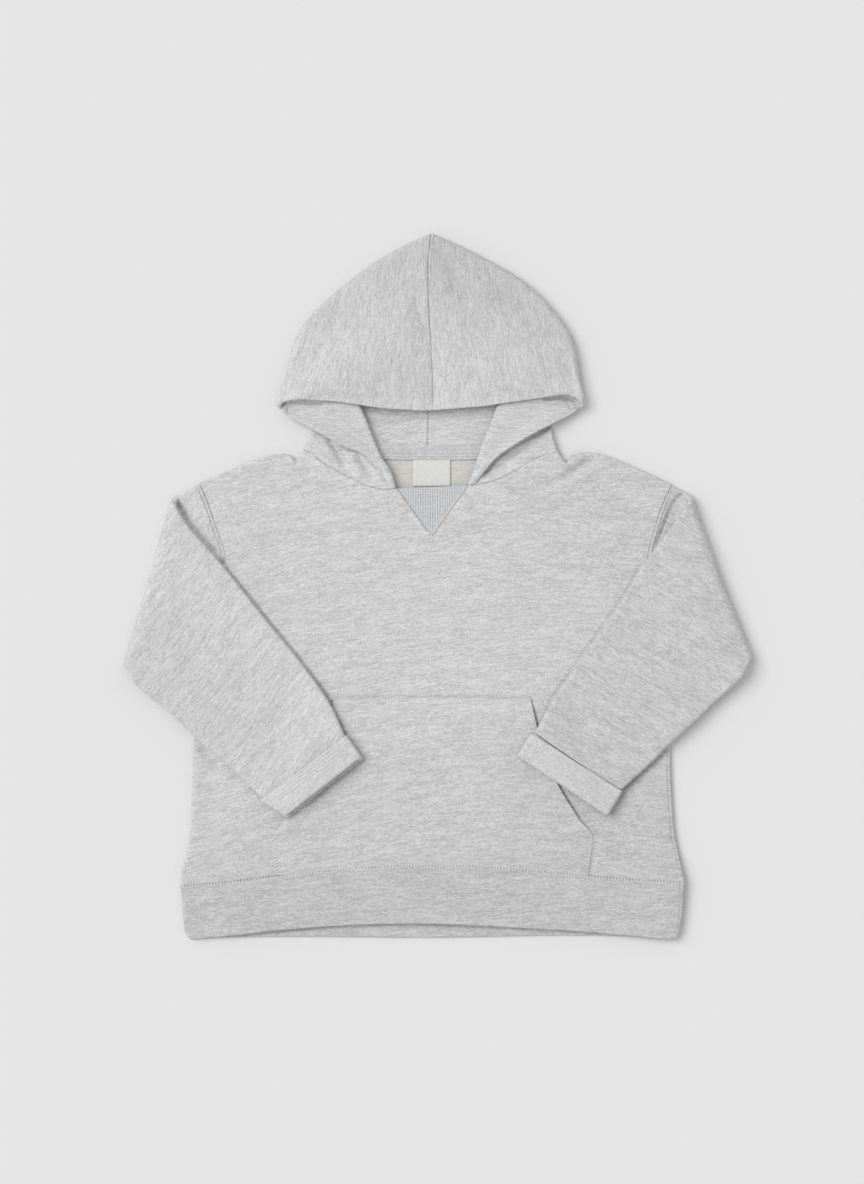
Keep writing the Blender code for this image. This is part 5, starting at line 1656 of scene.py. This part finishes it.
RIGHT_WEDGE = ((194, 73), (186, 66.5), (180.4, 55.8), (177, 47), (171.5, 34))
RIGHT_UNDER = ((176.5, -128), (166, -138), (141.5, -160))
pocket_lows = {side: edge_line(line) for side, line in SEWN_SIDES.items()}
pocket_top = edge_line(POCKET_TOP, 0.01, 0.99) + (0, 1.0)
tape_line = np.array(((TAPE_SPAN[0], 0), (TAPE_SPAN[1], 0)))

# Seams, hems and the lines beside them
tucks = {name: [] for name in SHELLS}
for name in ("body_front", "hem_band_front", "body_back", "hem_band_back"):
    below = name.endswith("back")
    tucks[name].append(Tuck(band_line, 0.65, 0.5, 2.45, below))
    tucks[name] += [Tuck(beside(band_line, off), -0.3, 0.9, 0, below) for off in (1.7, -1.7)]
for side, seam_depth, neck_depth, low_depth, hood_depth, opening_from in (
    ("left", 2.2, 1.4, -0.1, 1.0, -172), ("right", 1.0, 0.5, 0.1, 0.35, POCKET_OPENING),
):
    out, sleeve_name, hood_name = -INWARD[side], "sleeve_" + side, "hood_" + side
    arm, neck = edge_line(ARMHOLE[side], 0.03, 0.97), edge_line(NECK[side], 0.05, 0.95)
    shown_arm, beside_neck = arm[70:], neck[:80]
    for name, shift in (("body_front", -out), ("body_back", -out), (sleeve_name, out)):
        tucks[name].append(Tuck(beside(arm, 0.2 * shift), 0.7, 0.45, 1.9, name == "body_back"))
    tucks[sleeve_name] += [
        Tuck(beside(shown_arm, out * 2.8), seam_depth, 0.5, 1.9),
        Tuck(beside(shown_arm, out * 1.7), -0.4, 1.0),
    ]
    opening = edge_line([p for p in POCKET_SIDE[side] if p[1] > opening_from], 0.02, 0.98)
    tucks["body_front"] += [
        Tuck(beside(neck, -0.3 * out), neck_depth, 0.45),
        Tuck(beside(opening, out * 0.5), 1.7, 1.1),
    ]
    low, hem = pocket_lows[side], edge_line(POCKET_HEM[side])
    for name in ("body_front", "pocket"):
        tucks[name].append(Tuck(low, low_depth, 0.5, 2.2))
        tucks[name] += [Tuck(beside(low, off), -0.28, 0.7) for off in (1.5, -1.5)]
    tucks["pocket"] += [Tuck(hem, 0.4, 1.9, 2.1), Tuck(beside(hem, 3.2), 0.3, 1.5, 2.1)]
    tucks[hood_name] += [
        Tuck(beside(beside_neck, 0.3 * out), 0.8 * neck_depth, 0.45),
        *(Tuck(edge_line(line), hood_depth, 0.5, 1.9) for line in LAPEL_STITCHING[side]),
        Tuck(CENTRE_TOP, 0.75, 0.55),
        Tuck(CENTRE_LOW, 0.55, 0.45),
        Tuck(INSIDE_SEAM, 0.8, 0.5),
        *(Tuck(line, 1.1, 0.8) for line in CORNER_CREASES[side]),
    ]
for name in ("body_front", "pocket"):
    tucks[name] += [Tuck(pocket_top + (0, up), 0.3, 0.7, 2.2) for up in (-0.8, 1.0, 2.8)]
tucks["neck_tape"] += [
    Tuck(tape_line + ((1, y), (-1, y)), depth, width, pitch)
    for y, depth, width, pitch in (
        (100.7, 0.7, 0.5, 1.9), (102.4, 0.3, 0.5, 0), (104.1, -0.35, 0.7, 0), (105.8, 0.35, 0.5, 0),
        (107.4, -0.25, 0.6, 0), (109, 0.25, 0.5, 0),
    )
]
v_left = edge_line((NECK["left"][-1], V_TIP), 0.0, 0.97)
above_tip = v_left[:112]
tucks["neck_gusset"].append(Tuck(above_tip, 0.9, 0.5))
tucks["body_front"] += [Tuck(above_tip, 0.9, 0.5), Tuck(beside(v_left, 1.9), -0.6, 1.0)]
tucks["hood_right"].append(Tuck(beside(CENTRE_TOP, 1.5), -0.3, 0.8))
tucks["hem_band_back"].append(Tuck(edge_line(FRONT_HEM[1:-1]) - (0, 0.9), 1.1, 1.3))
tucks["cuff_left"].append(Tuck(edge_line(CUFF_LIP), 0.5, 0.5, 1.6))

# The cloth sinks a little beside the edges of what lies on it. Each row has the piece, the line,
# how far the tuck is to the line's right, its depth, its width and the side that moves.
for name, line, shift, depth, width, side in (
    ("sleeve_left", LEFT_WEDGE, -1.6, 3.2, 2.8, -1),
    ("sleeve_left", LEFT_WEDGE, -0.5, 2.6, 1.6, -1),
    ("sleeve_right", RIGHT_WEDGE, 0, 1.2, 1.8, 0),
    ("sleeve_right", CUFF_TOP, 0, 1.4, 1.8, 0),
    ("body_front", SIDE_SEAM[:6], 0, 1.0, 0.5, 0),
    ("hem_band_front", SIDE_SEAM[5:], 0, 1.0, 0.5, 0),
    ("body_front", LEFT_INNER[3:7], -0.9, 1.5, 1.5, 0),
    ("body_front", RIGHT_INNER[3:8], 1.2, 0.5, 1.4, 0),
    ("body_front", (*RIGHT_UNDER, (131.5, -178)), -2.2, 1.8, 3.4, 0),
    ("body_front", (*RIGHT_UNDER, (131.5, -177)), -0.8, 1.6, 1.4, -1),
    ("body_front", ((120.5, 99.8), (111.2, 92), (99.5, 84.2), (83.9, 78.8)), 0, 0.6, 2.1, 0),
    ("body_front", LEFT_END, -2.2, 2.0, 2.4, 0),
    ("pocket", (*LEFT_INNER[6:], LEFT_END[0]), -0.7, 1.1, 1.1, 0),
    ("pocket", LEFT_END, -2.2, 2.0, 2.4, 0),
    ("hood_left", LAPEL_EDGES["left"], -0.5, 1.8, 1.1, -1),
    ("hood_right", LAPEL_EDGES["right"], 0.9, 2.6, 1.8, 0),
    ("hood_right", LAPEL_EDGES["right"], 0.5, 1.6, 1.0, 1),
    *(("cuff_left", CUFF_STITCHING, 2.6 * k, 0.35, 0.6, 0) for k in (-2, -1, 0, 1)),
    ("cuff_left", LEFT_END, -0.6, 1.2, 0.6, 0),
):
    tucks[name].append(Tuck(beside(edge_line(line), shift), depth, width, side=side))
# Single creases: the piece, the line, its depth and its width
for name, line, depth, width in (
    ("sleeve_right", ((77, -117.5), (101, -133)), -0.7, 1.5),
    ("body_front", ((-183, -128), (-172, -139)), 2.6, 3.2),
    ("body_front", ((-111.5, 98.6), (-109.5, 95.6)), 1.2, 1.3),
    ("hood_left", ((-84, 112), (-77, 104), (-73, 96)), 2.2, 2.6),
    ("hood_left", ((-62, 101), (-55, 93), (-51, 84)), 1.4, 2.2),
    ("hood_left", ((-120, 142.4), (-110, 143.2), (-100, 143), (-90, 142.4)), 1.6, 1.4),
    ("hood_right", ((84, 146.2), (92, 146.9), (100, 146.9), (106.5, 144.6)), 2.6, 1.6),
):
    tucks[name].append(Tuck(line, depth, width))
for name, lines in tucks.items():
    if lines:
        press(name, lines)

# Each row has the piece that the stitches belong to, then their seams.
on_band, on_pocket, on_tape = ("body_front", "hem_band_front"), ("pocket", "body_front"), ("neck_tape",)
under_band = ("body_back", "hem_band_back")
v_right = edge_line((NECK["right"][-1], V_TIP))
STITCHES = {
    "stitches_band_front": (
        "hem_band_front", Seam(pale_yarn, on_band, band_line, 2.45, 3.3, 0.34, 0, True),
    ),
    "stitches_band_back": (
        "hem_band_back", Seam(pale_yarn, under_band, band_line, 2.45, 3.3, 0.34, 0, True, True),
    ),
    "stitches_pocket": (
        "pocket",
        Seam(yarn, on_pocket, pocket_top + (0, 1.0), 2.2, 3.4, 0.26, 0, True),
        Seam(yarn, on_pocket, pocket_lows["right"], 2.2, 4.2, 0.4, 0, True),
    ),
    "stitches_pocket_left": (
        "pocket", Seam(pale_yarn, on_pocket, pocket_lows["left"], 2.2, 4.6, 0.48, 0, True),
    ),
    "stitches_pocket_hems": (
        "pocket", *(Seam(yarn, ("pocket",), edge_line(hem), 2.1, 1.5, 0.24) for hem in POCKET_HEM.values()),
    ),
    "stitches_tape": (
        "neck_tape",
        Seam(pale_yarn, on_tape, tape_line + ((1.5, 100.9), (-1.5, 100.9)), 1.9, 2.0, 0.3, 0, True),
        Seam(pale_yarn, on_tape, tape_line + ((1.5, 104.3), (-1.5, 104.3)), 1.2, 1.0, 0.28),
    ),
    "stitches_gusset": (
        "neck_gusset", Seam(cord, ("body_front", "neck_gusset"), v_right, 1.0, 1.8, 0.75, 0.5),
    ),
}
for side, inward in INWARD.items():
    arm, both = edge_line(ARMHOLE[side], 0.55, 0.97), ("body_front", "sleeve_" + side)
    rows = (Seam(yarn, both, arm, 1.9, 1.1, 0.2, inward * shift) for shift in (0.9, -2.5))
    STITCHES["stitches_armhole_" + side] = ("sleeve_" + side, *rows)
sewn = {name: [] for name in SHELLS}
for name, (piece, *seams) in STITCHES.items():
    sewn[piece].append(sew(name, seams))

# What each piece was cut to, in metres: its slot, flat size and area, how it is held and what is
# under it
CUTS = {
    "body_front": ("fleece", (0.394, 0.342), 0.114, "laid", ("body_back",)),
    "body_back": ("fleece", (0.394, 0.342), 0.118, "laid", ()),
    "hem_band_front": ("fleece", (0.394, 0.046), 0.0176, "laid", ("hem_band_back",)),
    "hem_band_back": ("fleece", (0.394, 0.051), 0.0196, "laid", ()),
    "pocket": ("fleece", (0.250, 0.142), 0.0275, "laid", ("body_front",)),
    "neck_gusset": ("rib", (0.055, 0.040), 0.0011, "laid", ("body_front",)),
    "neck_tape": ("fleece", (0.092, 0.0117), 0.00107, "laid", ("body_back",)),
    "neck_label": ("label", (0.029, 0.0205), 0.00059, "laid", ("body_back",)),
    "sleeve_left": ("fleece", (0.300, 0.260), 0.0520, "folded", ("body_front",)),
    "sleeve_right": ("fleece", (0.300, 0.260), 0.0500, "folded", ("body_front",)),
    "cuff_left": ("fleece", (0.142, 0.050), 0.0066, "folded", ("body_front",)),
    "cuff_right": ("fleece", (0.162, 0.050), 0.0077, "folded", ("body_front",)),
    "hood_left": ("fleece", (0.240, 0.200), 0.0334, "folded", ()),
    "hood_right": ("fleece", (0.240, 0.200), 0.0345, "folded", ()),
}
for name, (slot, flat, area, held, under) in CUTS.items():
    made = SHELLS[name]
    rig.ride(made, "root")
    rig.replaces(made, name)
    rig.slot(made, slot)
    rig.sheet(made, flat=flat, held=held, rests_on=under, area=area, with_pieces=sewn[name])

# Floor, light and camera, in metres
FLOOR_SIZE = 30
FLOOR_HEIGHT = -0.0004
WORLD_STRENGTH = 0.6
KEY_TOWARD = (-0.68, 0.32, 1.0)
KEY_STRENGTH = 1.5
KEY_SOFTNESS = math.radians(40)
FRAME_HEIGHT = 0.9235
VIEW_CENTRE = (-0.0043, -0.0047)
CAMERA_DISTANCE = 2.5
FRONT_HEIGHT = 0.006
SENSOR_MM = 36

bpy.ops.mesh.primitive_plane_add(size=FLOOR_SIZE, location=(0, 0, FLOOR_HEIGHT))
floor = bpy.context.object
floor.name = "floor"
paper, _, paper_shader = new_material("paper", 0.9, 0.1)
paper_shader.inputs["Base Color"].default_value = (0.8, 0.8, 0.8, 1)
floor.data.materials.append(paper)
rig.stage(floor)

world = bpy.data.worlds.new("studio")
world.use_nodes = True
sky = world.node_tree.nodes["Background"]
sky.inputs["Color"].default_value = (1, 1, 1, 1)
sky.inputs["Strength"].default_value = WORLD_STRENGTH
bpy.context.scene.world = world

light = bpy.data.lights.new("key", "SUN")
light.energy = KEY_STRENGTH
light.angle = KEY_SOFTNESS
key = bpy.data.objects.new("key", light)
key.rotation_mode = "QUATERNION"
key.rotation_quaternion = (-Vector(KEY_TOWARD)).to_track_quat("-Z", "Y")
bpy.context.scene.collection.objects.link(key)

camera_data = bpy.data.cameras.new("camera")
camera_data.sensor_width = SENSOR_MM
camera_data.lens = SENSOR_MM * CAMERA_DISTANCE / FRAME_HEIGHT
camera = bpy.data.objects.new("camera", camera_data)
camera.location = (*VIEW_CENTRE, FRONT_HEIGHT + CAMERA_DISTANCE)
bpy.context.scene.collection.objects.link(camera)
bpy.context.scene.camera = camera
bpy.context.scene.view_settings.view_transform = "Standard"

with open("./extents.json", "w") as sizes:
    boxes = {"cad": cad_box, "visual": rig.bounds()}
    json.dump({k: [list(lo), list(hi)] for k, (lo, hi) in boxes.items()}, sizes)
